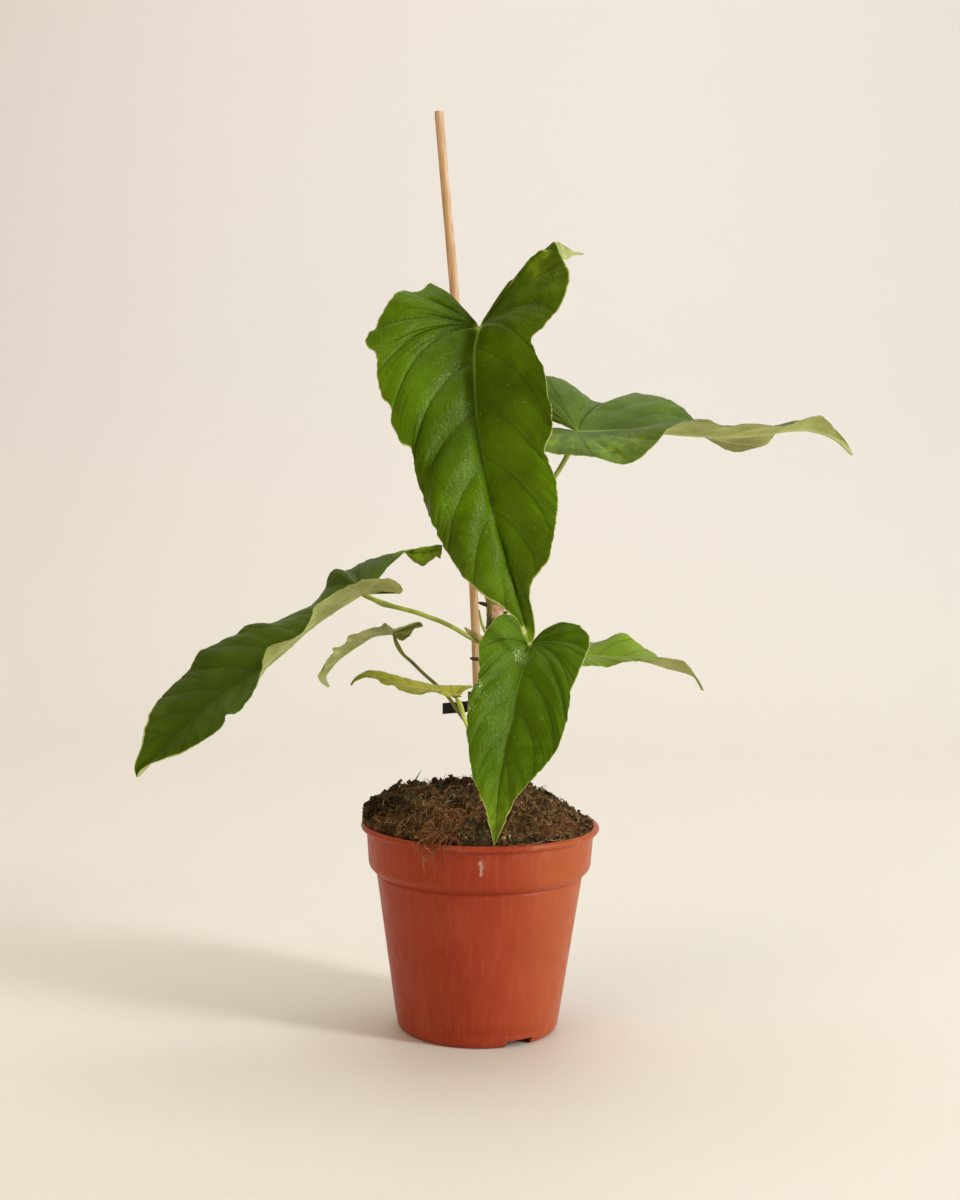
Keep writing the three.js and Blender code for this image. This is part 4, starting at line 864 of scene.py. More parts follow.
def pot_plastic(name):
    """Moulded polypropylene: an even brick red, with painted light that turns it paler and more orange to the
    right, where the key lamp falls; faint upright flow marks, a satin skin, dusty specks, finger-worn edges,
    painted shade in the concave creases, one whitish water mark on the front of the collar, and painted
    shade, near black, underneath and in the notches. IOR 1.49, dielectric."""
    material, tree, output = start_material(name)
    place = add(tree, "ShaderNodeTexCoord").outputs["Object"]
    upright = add(tree, "ShaderNodeMapping", {"Vector": place, "Scale": (1, 1, 0.06)}).outputs[0]
    drift = add(tree, "ShaderNodeTexNoise", {
        "Vector": place, "Scale": 1 / (34 * MM), "Detail": 3.0,
    }).outputs[0]
    flow = add(tree, "ShaderNodeTexNoise", {
        "Vector": upright, "Scale": 1 / (2.5 * MM), "Detail": 3.0,
    }).outputs[0]
    colour = mixed(tree, mapped(tree, drift, 0.35, 0.68), "#993518", "#a03c20")
    axes = add(tree, "ShaderNodeSeparateXYZ", {"Vector": place}).outputs
    # Painted light: paler and more orange towards +X, the side the key lamp lights.
    colour = mixed(tree, mapped(tree, axes["X"], 5 * MM, 48 * MM, 0.0, 0.55), colour, "#b8602c")
    level = add(tree, "ShaderNodeVectorMath", {0: place, 1: (1, 1, 0)}, operation="MULTIPLY").outputs[0]
    radius = add(tree, "ShaderNodeVectorMath", {0: level}, operation="LENGTH").outputs["Value"]
    # Painted shade: near black within 37.4 mm of the axis, underneath and deep in the notches, where shade
    # falls.
    colour = mixed(tree, mapped(tree, radius, 37.4 * MM, 38.4 * MM, 0.85, 0.0), colour, "#2c120a")
    colour = mixed(tree, mapped(tree, flow, 0.45, 0.75, 0.0, 0.22), colour, "#b9603c")
    edge = add(tree, "ShaderNodeNewGeometry").outputs["Pointiness"]
    colour = mixed(tree, mapped(tree, edge, 0.51, 0.6, 0.0, 0.15), colour, "#b9603c")
    # Painted shade: concave creases, such as the step under the collar, are darkened.
    colour = mixed(tree, mapped(tree, edge, 0.49, 0.42, 0.0, 0.6), colour, "#6d2412")
    speck = add(tree, "ShaderNodeTexVoronoi", {"Vector": place, "Scale": 1 / (5.5 * MM)}).outputs["Distance"]
    colour = mixed(tree, mapped(tree, speck, 0.03, 0.07, 0.3, 0.0), colour, "#c9a58c")
    soot = add(tree, "ShaderNodeTexVoronoi", {"Vector": place, "Scale": 1 / (9 * MM)}).outputs["Distance"]
    colour = mixed(tree, mapped(tree, soot, 0.03, 0.06, 0.7, 0.0), colour, "#4a2216")
    dust = add(tree, "ShaderNodeTexNoise", {"Vector": place, "Scale": 1 / (7 * MM), "Detail": 5.0}).outputs[0]
    high = mapped(tree, axes["Z"], 84 * MM, 103 * MM)
    dusty = add(tree, "ShaderNodeMath", {0: mapped(tree, dust, 0.54, 0.74, 0.0, 0.22), 1: high},
                operation="MULTIPLY").outputs[0]
    colour = mixed(tree, dusty, colour, "#c68e70")
    wavy = add(tree, "ShaderNodeTexNoise", {
        "Vector": place, "Scale": 1 / (2.5 * MM), "Detail": 3.0,
    }).outputs[0]
    mark = add(tree, "ShaderNodeMapping", {
        "Vector": place, "Location": (-0.5, 56.4, -93.5 * 0.22), "Scale": (1 / MM, 1 / MM, 0.22 / MM),
    }).outputs[0]
    mark = add(tree, "ShaderNodeVectorMath", {0: mark}, operation="LENGTH").outputs["Value"]
    reach = add(tree, "ShaderNodeMath", {0: wavy, 1: 4.2, 2: mark}, operation="MULTIPLY_ADD").outputs[0]
    colour = mixed(tree, mapped(tree, reach, 2.3, 3.1, 0.45, 0.0), colour, "#e0bfae")
    grain = add(tree, "ShaderNodeTexNoise", {
        "Vector": place, "Scale": 1 / (0.5 * MM), "Detail": 3.0,
    }).outputs[0]
    height = add(tree, "ShaderNodeMath", {0: flow, 1: 2.0, 2: grain}, operation="MULTIPLY_ADD").outputs[0]
    bump = add(tree, "ShaderNodeBump", {"Height": height, "Strength": 0.5, "Distance": 0.04 * MM})
    skin = mapped(tree, dust, 0.35, 0.7, 0.36, 0.5)
    shader = add(tree, "ShaderNodeBsdfPrincipled", {
        "Base Color": colour, "Roughness": skin, "IOR": 1.49, "Specular IOR Level": 0.22,
        "Normal": bump.outputs[0],
    })
    tree.links.new(shader.outputs[0], output.inputs[0])
    return material


def speckled(name, stops, roughness):
    """Loose bits, each of one colour: the ramp is read by the bit's own random tint. Not a metal, IOR 1.5."""
    material, tree, output = start_material(name)
    ramp = add(tree, "ShaderNodeValToRGB", {"Fac": attribute(tree, "tint")}, stops=stops)
    place = add(tree, "ShaderNodeTexCoord").outputs["Object"]
    grain = add(tree, "ShaderNodeTexNoise", {"Vector": place, "Scale": 1 / (0.6 * MM), "Detail": 2.0})
    colour = mixed(tree, mapped(tree, grain.outputs[0], 0.35, 0.7, 0.0, 0.5), ramp.outputs[0], "#1a120b")
    shader = add(tree, "ShaderNodeBsdfPrincipled", {
        "Base Color": colour, "Roughness": roughness, "Specular IOR Level": 0.25,
    })
    tree.links.new(shader.outputs[0], output.inputs[0])
    return material


def box_shape(low, high, angle=0.0):
    """Plain box between two corners, turned about the Z axis."""
    corners = np.array([(x, y, z) for z in (low[2], high[2]) for x, y in
                        ((low[0], low[1]), (high[0], low[1]), (high[0], high[1]), (low[0], high[1]))], float)
    turn = np.array([[math.cos(angle), math.sin(angle)], [-math.sin(angle), math.cos(angle)]])
    corners[:, :2] = corners[:, :2] @ turn
    faces = np.array([(3, 2, 1, 0), (4, 5, 6, 7), (0, 1, 5, 4), (1, 2, 6, 5), (2, 3, 7, 6), (3, 0, 4, 7)])
    return {"points": corners, "faces": faces, "values": {}}


def plain_mesh(name, shape):
    """Object of a shape with no finish, for cutting another."""
    mesh = bpy.data.meshes.new(name)
    faces = [list(dict.fromkeys(face)) for face in shape["faces"].tolist()]
    mesh.from_pydata((shape["points"] * MM).tolist(), [], faces)
    tool = bpy.data.objects.new(name, mesh)
    bpy.context.scene.collection.objects.link(tool)
    return tool


def make_pot(plastic):
    """Pot: a turned profile of foot, tapered body, collar and rolled lip, with three pockets moulded up into
    the floor, each open to the side through a notch and drained by a hole."""
    foot, body, collar, top = POT_FOOT_TOP, POT_BODY_TOP, POT_COLLAR_FOOT, POT_COLLAR_TOP
    roll = np.radians(np.linspace(-70, 100, 9))
    lip = [(POT_LIP_RADIUS - 1.55 + 1.55 * math.cos(a), POT_HEIGHT - 1.55 + 1.55 * math.sin(a)) for a in roll]
    profile = [
        (14, 0), (26, 0.05), (34, 0.05), (POT_BASE_RADIUS - 1, 0), (POT_BASE_RADIUS + 0.6, 0.35),
        (POT_BASE_RADIUS + 1.5, 1.2), (POT_BASE_RADIUS + 2.1, 2.4), (POT_BASE_RADIUS + 2.35, 4.2),
        (foot[0] - 0.05, foot[1] - 1.0), (foot[0], foot[1] - 0.4), (foot[0] + 0.1, foot[1]),
        (foot[0] + 0.35, foot[1] + 0.4),
    ]
    low = (foot[0] + 0.35, foot[1] + 0.4)
    profile += [(low[0] + (body[0] - low[0]) * k, low[1] + (body[1] - low[1]) * k)
                for k in np.linspace(0.08, 0.975, 14)]
    profile += [
        (body[0] - 0.15, body[1] - 1.1), (body[0] - 0.45, body[1] - 0.55), (body[0] - 0.4, body[1] - 0.1),
        (body[0] + 0.2, body[1] + 0.15), (body[0] + 0.9, body[1] + 0.7), (body[0] + 2.3, body[1] + 2.0),
        (collar[0] - 0.75, collar[1] - 2.2), (collar[0] - 0.3, collar[1] - 1.2),
        (collar[0] - 0.05, collar[1] - 0.2), (collar[0], collar[1] + 0.3),
    ]
    profile += [(collar[0] + (top[0] - collar[0]) * k, collar[1] + (top[1] - collar[1]) * k)
                for k in np.linspace(0.15, 1, 8)]
    profile += [(top[0] + 0.25, top[1] + 0.3), (top[0] + 1.0, top[1] + 0.5)] + lip
    profile += [
        (POT_MOUTH_RADIUS + 0.5, POT_HEIGHT - 0.2), (POT_MOUTH_RADIUS, POT_HEIGHT - 1.2),
        (collar[0] - 1.2, collar[1] + 1), (body[0] - POT_WALL, body[1] + 0.5), (foot[0] - 1.2, foot[1] + 1),
        (POT_BASE_RADIUS + 0.2, POT_FLOOR + 0.4), (POT_BASE_RADIUS - 1, POT_FLOOR), (14, POT_FLOOR),
    ]
    radius, height = np.array(profile).T
    angle = np.linspace(0, 2 * np.pi, 256, endpoint=False)
    rings = np.stack([radius[:, None] * np.cos(angle), radius[:, None] * np.sin(angle),
                      height[:, None] * np.ones_like(angle)], -1)
    pot = plain_mesh("pot_body", closed_rings(rings, (0, 0, 0), (0, 0, POT_FLOOR)))
    pockets, notches, drains = [], [], []
    for number in range(POCKET_COUNT):
        turn = math.radians(POCKET_FIRST_ANGLE + 360 / POCKET_COUNT * number)
        near, far = POCKET_CENTRE - POCKET_LENGTH / 2, POCKET_CENTRE + POCKET_LENGTH / 2
        pockets.append(box_shape((near, -POCKET_WIDTH / 2, POT_FLOOR - 0.7),
                                 (far, POCKET_WIDTH / 2, POCKET_TOP), turn))
        notches.append(box_shape((NOTCH_INNER_END, -NOTCH_WIDTH / 2, -2),
                                 (POT_LIP_RADIUS, NOTCH_WIDTH / 2, NOTCH_HEIGHT), turn))
        place = (POCKET_CENTRE * math.cos(turn), POCKET_CENTRE * math.sin(turn))
        drains.append(tube([(*place, 0.5), (*place, 4), (*place, 9)], lambda s, d: DRAIN_RADIUS, 4, 32))
    for operation, tools in (("UNION", pockets), ("DIFFERENCE", notches), ("DIFFERENCE", drains)):
        tool = plain_mesh("cutter", joined(tools))
        cut = pot.modifiers.new("cut", "BOOLEAN")
        cut.operation = operation
        cut.object = tool
        cut.solver = "EXACT"
        bpy.context.view_layer.update()
        finished = bpy.data.meshes.new_from_object(pot.evaluated_get(bpy.context.evaluated_depsgraph_get()))
        pot.modifiers.remove(cut)
        pot.data = finished
        bpy.data.objects.remove(tool)
    pot.data.materials.clear()
    pot.data.materials.append(plastic)
    pot.data.polygons.foreach_set("material_index", np.zeros(len(pot.data.polygons), np.int32))
    pot.data.shade_smooth()
    pot.data.set_sharp_from_angle(angle=math.radians(38))
    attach(pot, "root")
    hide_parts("pot")


def soil_height(x, y):
    """Height of the soil: a dome that falls to the rim as 1 - reach^2.6, with a clump on the left edge, a
    lower swell on the right, a dip beyond it, and lumps from two crossing sine waves."""
    reach = np.minimum(np.hypot(x, y) / SOIL_RADIUS, 1)
    dome = 16.6 * (1 - reach**2.6)
    left_swell = 4.6 * np.exp(-((x + 44)**2 / 260 + (y - 4)**2 / 400))
    left_clump = 3.8 * np.exp(-((x + 54)**2 / 60 + y**2 / 200))
    right_swell = 2 * np.exp(-((x - 41)**2 + (y - 4)**2) / 110)
    lumps = 1.2 * np.sin(0.31 * x + 0.9) * np.sin(0.27 * y - 0.4) + 0.8 * np.sin(0.62 * x - 0.35 * y + 2)
    right_dip = -4.6 * np.exp(-((x - 48)**2 / 260 + y**2 / 1400))
    swells = left_swell + left_clump + right_swell + right_dip
    return POT_HEIGHT + 1.4 + dome + swells + lumps * (1 - reach**6)


def soil_surface(x, y):
    """Points on the soil's crumbly surface: its height with three sizes of noise, less at the rim."""
    flat = np.stack([x, y, np.zeros_like(x)], -1)
    rough = 1.5 * noise(flat, 6.0, 3) + 1.2 * noise(flat, 2.6, 4) + 0.6 * noise(flat, 1.2, 5)
    edge = 1 - smooth_step(np.hypot(x, y), SOIL_RADIUS - 6, SOIL_RADIUS)
    return np.stack([x, y, soil_height(x, y) - 0.8 + rough * (0.35 + 0.65 * edge)], -1)


def make_soil(earth):
    """Soil: rings of the crumbly surface out to the rim, a small overhang at the left, and the fill below."""
    angle = np.linspace(0, 2 * np.pi, 260, endpoint=False)
    overhang = SOIL_RADIUS + SOIL_OVERHANG * np.exp(-((angle - np.pi) / 0.4)**2)
    share = np.linspace(0.012, 1, 72)[:, None]
    top = soil_surface(share * overhang * np.cos(angle), share * overhang * np.sin(angle))
    top[-1, :, 2] = np.maximum(top[-1, :, 2] - 1, POT_HEIGHT + 0.6)
    wall = [
        (None, POT_HEIGHT + 0.3), (SOIL_RADIUS - 0.1, POT_HEIGHT + 0.25), (SOIL_RADIUS - 0.1, POT_HEIGHT - 1),
        (POT_COLLAR_FOOT[0] - 1.7, POT_COLLAR_FOOT[1] + 1), (POT_BODY_TOP[0] - 1.8, POT_BODY_TOP[1] + 0.5),
        (POT_FOOT_TOP[0] - 1.7, POT_FOOT_TOP[1] + 1), (POT_FOOT_TOP[0] - 2.2, SOIL_BOTTOM),
    ]
    sides = []
    for radius, height in wall:
        reach = overhang if radius is None else radius * np.ones_like(angle)
        flat = [reach * np.cos(angle), reach * np.sin(angle)]
        sides.append(np.stack([*flat, np.full_like(angle, height)], -1))
    rings = np.concatenate([top, np.array(sides)])[::-1]
    centre = soil_surface(np.zeros(1), np.zeros(1))[0]
    make_piece("soil_mound", closed_rings(rings, (0, 0, SOIL_BOTTOM), centre), [earth], "soil")


def ball():
    """Points and faces of a regular solid of twenty triangles, radius 1."""
    golden = (1 + 5**0.5) / 2
    points = np.array([(-1, golden, 0), (1, golden, 0), (-1, -golden, 0), (1, -golden, 0),
                       (0, -1, golden), (0, 1, golden), (0, -1, -golden), (0, 1, -golden),
                       (golden, 0, -1), (golden, 0, 1), (-golden, 0, -1), (-golden, 0, 1)], float)
    faces = np.array([(0, 11, 5), (0, 5, 1), (0, 1, 7), (0, 7, 10), (0, 10, 11), (1, 5, 9), (5, 11, 4),
                      (11, 10, 2), (10, 7, 6), (7, 1, 8), (3, 9, 4), (3, 4, 2), (3, 2, 6), (3, 6, 8),
                      (3, 8, 9), (4, 9, 5), (2, 4, 11), (6, 2, 10), (8, 6, 7), (9, 8, 1)])
    return unit(points), np.hstack([faces, faces[:, 2:]])


def scattered(random, count, reach=1.0):
    """Places spread evenly over the soil, out to a share of its radius."""
    radius = SOIL_RADIUS * reach * np.sqrt(random.uniform(0, 1, count))
    angle = random.uniform(0, 2 * np.pi, count)
    return soil_surface(radius * np.cos(angle), radius * np.sin(angle))


def moss_cover(place):
    """How much moss grows at a place on the soil, above zero where it covers: most at the left and front."""
    flat = place * (1, 1, 0)
    return noise(flat, 12.0, 9) + 0.5 * noise(flat, 4.5, 10) - 0.011 * (place[..., 0] + 4) - 0.1


# Heaps of crumbs: place, spread and height in mm
HEAPS = [
    (-56, -4, 2.2, 3.4), (-56, -9, 2.0, 3.0), (-52, 8, 3.0, 2.4), (-46, -12, 3.0, 2.0), (-44, 6, 1.6, 3.4),
    (-33, 8, 1.6, 3.2), (-22, 9, 1.4, 2.6), (-14, 12, 1.4, 4.4), (-8, 12, 1.3, 3.8), (-20, 2, 3.0, 2.0),
    (36, 6, 1.6, 3.2), (24, 14, 1.6, 2.6), (46, -4, 1.4, 2.8), (30, -30, 3.0, 1.6),
]


def make_crumbs(bits):
    """Crumbs: many lumps of twenty faces, each stretched and turned by its own random matrix and dented. A
    few heaps of bigger lumps stand on the left edge, near the stem and on the right."""
    random = np.random.default_rng(SEED)
    count = 7600
    points, faces = ball()
    centres = scattered(random, count, 0.985)
    size = np.exp(random.normal(-0.8, 0.5, count)).clip(0.22, 2.0)
    centres[:, 2] += 0.3 * size
    rim_count = 1500
    angle = random.uniform(0, 2 * np.pi, rim_count)
    radius = SOIL_RADIUS + random.uniform(-3.0, 0.7, rim_count) - 1.2 * (np.sin(angle) > 0.2)
    centres[-rim_count:, :2] = np.stack([radius * np.cos(angle), radius * np.sin(angle)], -1)
    centres[-rim_count:, 2] = POT_HEIGHT + 1.0 + random.uniform(-0.9, 1.1, rim_count)
    heap_count = 980
    heap = np.array(HEAPS, float)[random.integers(0, len(HEAPS), heap_count)]
    spot = heap[:, :2] + random.normal(0, 1, (heap_count, 2)) * heap[:, 2:3]
    reach = np.hypot(spot[:, 0], spot[:, 1])
    spot *= np.minimum(1, (SOIL_RADIUS + 1.6 * (spot[:, 0] < -50)) / reach)[:, None]
    size[:heap_count] = np.exp(random.normal(-0.1, 0.4, heap_count)).clip(0.4, 2.0)
    centres[:heap_count] = soil_surface(spot[:, 0], spot[:, 1])
    centres[:heap_count, 2] += random.uniform(0.0, 1.0, heap_count) * heap[:, 3]
    turns = np.linalg.qr(random.normal(size=(count, 3, 3)))[0]
    turns[np.linalg.det(turns) < 0, :, 0] *= -1
    stretch = random.uniform(0.55, 1.25, (count, 1, 3))
    dents = 1 + random.uniform(-0.28, 0.28, (count, 12, 1))
    lumps = (points[None] * dents * stretch) @ turns.transpose(0, 2, 1) * size[:, None, None]
    shape = {
        "points": (lumps + centres[:, None]).reshape(-1, 3),
        "faces": (faces[None] + 12 * np.arange(count)[:, None, None]).reshape(-1, 4),
        "values": {"tint": np.repeat(np.where(moss_cover(centres) > 0.05, random.uniform(0.0, 0.5, count),
                                              random.uniform(0.1, 0.9, count)), 12)},
    }
    make_piece("soil_crumbs", shape, [bits], "soil", sharp=60)


def strands(paths, radius, sides=4):
    """Many thin closed tubes at once. paths is strands by points by 3; each ring is a regular polygon across
    the strand's direction, and the strand thins to its two ends as radius (1 - |2s-1|^3)."""
    count, steps = paths.shape[:2]
    ahead = unit(np.gradient(paths, axis=1))
    helper = np.where(np.abs(ahead[..., 2:]) > 0.9, (1.0, 0, 0), (0, 0, 1.0))
    across = unit(np.cross(ahead, helper))
    up = np.cross(ahead, across)
    share = np.linspace(0, 1, steps)
    thin = np.maximum(1 - np.abs(2 * share - 1)**3, 0.12)
    angle = np.linspace(0, 2 * np.pi, sides, endpoint=False)[:, None]
    ring = across[:, :, None] * np.cos(angle) + up[:, :, None] * np.sin(angle)
    width = (np.asarray(radius)[:, None] * thin)[:, :, None, None]
    rings = (paths[:, :, None] + ring * width).reshape(count, -1, 3)
    points = np.concatenate([rings, paths[:, :1], paths[:, -1:]], axis=1)
    one = closed_rings(rings[0].reshape(steps, sides, 3), paths[0, 0], paths[0, -1])["faces"]
    faces = (one[None] + (steps * sides + 2) * np.arange(count)[:, None, None]).reshape(-1, 4)
    return {"points": points.reshape(-1, 3), "faces": faces, "values": {}}


def make_moss(green):
    """Moss: short upright shoots in patches, each a thin strand that leans its own way."""
    random = np.random.default_rng(SEED + 1)
    places = 15000
    feet = scattered(random, places, 0.99)
    feet = feet[moss_cover(feet) > random.uniform(-0.2, 0.35, places)]
    count = len(feet)
    lean = unit(np.stack([random.normal(0, 0.8, count), random.normal(0, 0.8, count), np.ones(count)], -1))
    length = random.uniform(0.7, 2.4, count)
    steps = 3
    share = np.linspace(0, 1, steps)[None, :, None]
    bend = random.normal(0, 0.35, (count, 1, 3)) * share**2
    paths = feet[:, None] - (0, 0, 0.5) + (lean[:, None] * share + bend) * length[:, None, None]
    shape = strands(paths, random.uniform(0.1, 0.24, count), 3)
    shape["values"] = {"tint": np.repeat(random.uniform(0, 1, count)**1.3, steps * 3 + 2)}
    make_piece("moss_shoots", shape, [green], "soil", sharp=60)


def wandering(random, starts, length, steps, curl):
    """Paths that wander from their starts: each step turns the heading by a random amount."""
    count = len(starts)
    heading = unit(random.normal(0, 1, (count, 3)) * (1, 1, 0.35))
    turns = random.normal(0, curl, (count, steps, 3))
    ahead = unit(heading[:, None] + np.cumsum(turns, axis=1))
    pace = (np.asarray(length) / steps)[:, None, None]
    return starts[:, None] + np.cumsum(ahead * pace, axis=1)


def make_fibres(coir):
    """Fibres of coir and fine roots: thin strands that wander over the soil and follow its surface."""
    random = np.random.default_rng(SEED + 2)
    count = 5600
    bundled = 1500
    starts = scattered(random, count, 0.97)
    front = np.array([(-24, -47), (-12, -50), (-18, -44), (-50, -16), (34, -38), (44, -26)], float)
    spot = front[random.integers(0, len(front), bundled)] + random.normal(0, 4, (bundled, 2))
    starts[:bundled] = soil_surface(spot[:, 0], spot[:, 1])
    starts = starts[moss_cover(starts) < random.uniform(-0.2, 0.9, count)]
    count = len(starts)
    steps = 6
    paths = wandering(random, starts, random.uniform(2.5, 9, count), steps, 0.6)
    reach = np.hypot(paths[..., 0], paths[..., 1])
    paths[..., :2] *= np.minimum(1, 0.975 * SOIL_RADIUS / np.maximum(reach, 1))[..., None]
    above = np.abs(random.normal(0, 1.0, (count, 1))) + 0.25 + 0.6 * np.sin(np.linspace(0, np.pi, steps))
    paths[..., 2] = soil_surface(paths[..., 0], paths[..., 1])[..., 2] + above
    shape = strands(paths, random.uniform(0.055, 0.13, count), 3)
    shape["values"] = {"tint": np.repeat(random.uniform(0, 1, count)**1.2, steps * 3 + 2)}
    make_piece("coir_fibres", shape, [coir], "soil", sharp=60)


# Roots that hang over the lip at the front left, and a few that lie on the lip at the front right
HANGING_ROOTS = [
    [(-19, -50, 107.5), (-24, -55.2, 106.6), (-27.2, -57.6, 102.6), (-26.6, -56.6, 96), (-26.0, -55.4, 87.5)],
    [(-17, -52, 107), (-19.5, -59.4, 105.6), (-24, -59.2, 100), (-27, -56.6, 94), (-27.2, -56.2, 89.4)],
    [(-21, -51, 107.5), (-22.5, -58.2, 105.8), (-22, -59.0, 98.6), (-23.4, -57.6, 93)],
    [(-15, -54, 106.8), (-16.2, -60.8, 105.4), (-17.0, -61.2, 100.4), (-16.4, -60.0, 97.0)],
    [(-28, -47, 107.4), (-28.6, -53.6, 106.4), (-30.4, -55.4, 101), (-31.0, -53.8, 96.4)],
    [(-24, -50, 107.6), (-27, -54.6, 107.0), (-25.5, -58.6, 103), (-21.5, -60.2, 100)],
    [(-12, -54, 107.2), (-9.6, -60.6, 105.6), (-8.8, -61.6, 102), (-10.4, -61.0, 99)],
    [(-30, -47, 107.8), (-26, -55.6, 107.4), (-21, -59.8, 104.6), (-15, -61.4, 102.6)],
    [(-20, -52, 107.8), (-23.6, -57.2, 107.8), (-29.6, -56.2, 104.0), (-29.0, -56.0, 99.6)],
]
LIP_ROOTS = [
    [(16.5, -53, 105), (19, -55.6, 104.6), (22.5, -56.2, 104.4), (26, -54.0, 104.8), (31, -50.5, 105.2)],
    [(30, -49, 105.4), (35, -47.5, 105), (38.5, -45.6, 104.6), (41.5, -42.0, 105.2)],
    [(10, -54, 105.6), (14, -57.4, 104.4), (18.4, -57.0, 104.4), (21, -53.5, 105)],
]
TANGLE_COUNT = 70


def make_edge_roots(pale):
    """The longer fine roots at the pot's lip, each a smooth curve through given points, and a tangle of
    shorter brown ones, each beside one of those curves for a random share of its length."""
    random = np.random.default_rng(SEED + 3)
    steps, sides = 18, 5
    share = np.linspace(0, 1, steps)
    curves = [smooth_curve(route) for route in HANGING_ROOTS + LIP_ROOTS]
    paths = [at_share(curve, share) for curve in curves]
    for number in range(TANGLE_COUNT):
        beside = random.normal(0, 1, 3) * (1.7, 0.25, 0.8) - (0, 0.35, 0)
        part = share * random.uniform(0.35, 0.75)
        paths.append(at_share(curves[number % len(HANGING_ROOTS)], part) + beside)
    paths = np.array(paths)
    paths[:, 1:-1] += random.normal(0, 0.22, (len(paths), steps - 2, 3))
    tint = random.uniform(0.55, 1.0, len(paths))
    tint[len(curves):] = random.uniform(0.05, 0.7, TANGLE_COUNT)
    shape = strands(paths, random.uniform(0.1, 0.16, len(paths)), sides)
    shape["values"] = {"tint": np.repeat(tint, steps * sides + 2)}
    make_piece("edge_roots", shape, [pale], "soil", sharp=60)


# Bits of dead twig that stand up from the soil: foot, middle and tip, and the thickness in mm
TWIGS = [
    ([(-35, 0, 121), (-32.5, -2, 125.5), (-30, -4, 130.4)], 0.55),
    ([(-21, 10, 118.5), (-19.5, 10, 122.5), (-17.6, 10, 126.9)], 0.28),
    ([(-24, 6, 118.5), (-22.6, 6, 121), (-22.8, 6, 123.4)], 0.4),
    ([(28, 10, 117.5), (31, 10, 120.2), (33.5, 10, 121.2)], 0.4),
    ([(-37, 2, 121), (-39, 2, 123), (-39.6, 2, 124.2)], 0.3),
    ([(45, -18, 108), (45.4, -18.6, 112.5), (46.4, -19, 116)], 0.15),
]


def make_twigs(dark):
    """Twigs: tapered bent rods."""
    rods = [tube(route, lambda s, d, thick=thick: thick * (1 - 0.8 * s), 8, 6) for route, thick in TWIGS]
    make_piece("twigs", joined(rods), [dark], "soil")


def stem_radius(share, distance):
    """The stem's radius: even, swollen at each node ring, and tapered to a point over the last seventh."""
    rings = sum(0.35 * np.exp(-((distance - place) / 1.3)**2) for place in STEM_RINGS)
    return STEM_RADIUS - 0.2 - (STEM_RADIUS - 1.2) * smooth_step(share, 0.86, 1) + rings


# Short roots and buds on the stem: route, thickness at the foot and at the tip
SPURS = [
    ([(5, -2, 213), (1, -3, 214), (-2.6, -3.5, 215)], 1.5, 0.7),
    ([(7, -2.5, 210.5), (10, -3, 210), (12, -3.2, 210)], 1.3, 0.7),
    ([(4.5, -4.5, 185.8), (-2, -6, 186.8), (-6.4, -6.5, 187.3)], 1.3, 0.85),
]
GREEN_SCALE = [(3, -5, 198), (-0.5, -7.2, 204), (-2.2, -6.8, 211.5)]
STALK_SCALE = [(1, -9, 196.2), (-3.5, -10.2, 198.6), (-7.2, -10.8, 201.2), (-9.0, -11, 203.0)]

# Papery sheaths on the stem: height of the foot and of the torn top, the arc they cover in degrees, and how
# far their top stands away. The scar is where an old leaf came off.
SHEATHS = [
    (209.0, 219.5, -210, -70, 2.6), (212.0, 220.0, -110, 60, 0.9), (170.0, 178.0, -120, 90, 0.9),
    (150.0, 157.0, 60, 250, 0.9), (128.0, 137.0, -160, 80, 0.9), (185.0, 193.0, 20, 200, 0.9),
]
SCARS = [(207.6, 214.2, -112, -20, 0.8)]


def bud_radius(foot, tip):
    """Radius of a root bud as a function for tube: even from foot to tip, and rounded off at its end."""
    return lambda share, distance: (foot + (tip - foot) * share) * (1 - 0.5 * smooth_step(share, 0.85, 1))


def make_stem(bark, papery, healed, root_skin, green):
    """Stem: a ringed tapered tube, with root buds, a thin green scale and a dry one, a leaf scar, and dry
    sheaths round it."""
    stem = tube(STEM_ROUTE, stem_radius, 220, 40)
    stem["points"] += 0.18 * noise(stem["points"] * (1, 1, 0.35), 1.3, 21)[:, None] * unit(
        stem["points"] * (1, 1, 0) - (5, -3, 0))
    make_piece("stem_rod", stem, [bark], "stem")
    buds = [tube(route, bud_radius(foot, tip), 14, 12) for route, foot, tip in SPURS]
    make_piece("root_buds", joined(buds), [root_skin], "stem")
    make_piece("green_scale", tube(GREEN_SCALE, lambda s, d: 1.1 - 0.7 * s, 16, 12, squash=0.5), [green],
               "stem")
    make_piece("stalk_scale", tube(STALK_SCALE, lambda s, d: 1.9 - 1.3 * s**2, 16, 12, squash=0.45), [papery],
               "stem")
    make_piece("stem_sheaths", joined(wrapped(SHEATHS)), [papery], "stem")
    make_piece("leaf_scar", joined(wrapped(SCARS)), [healed], "stem")


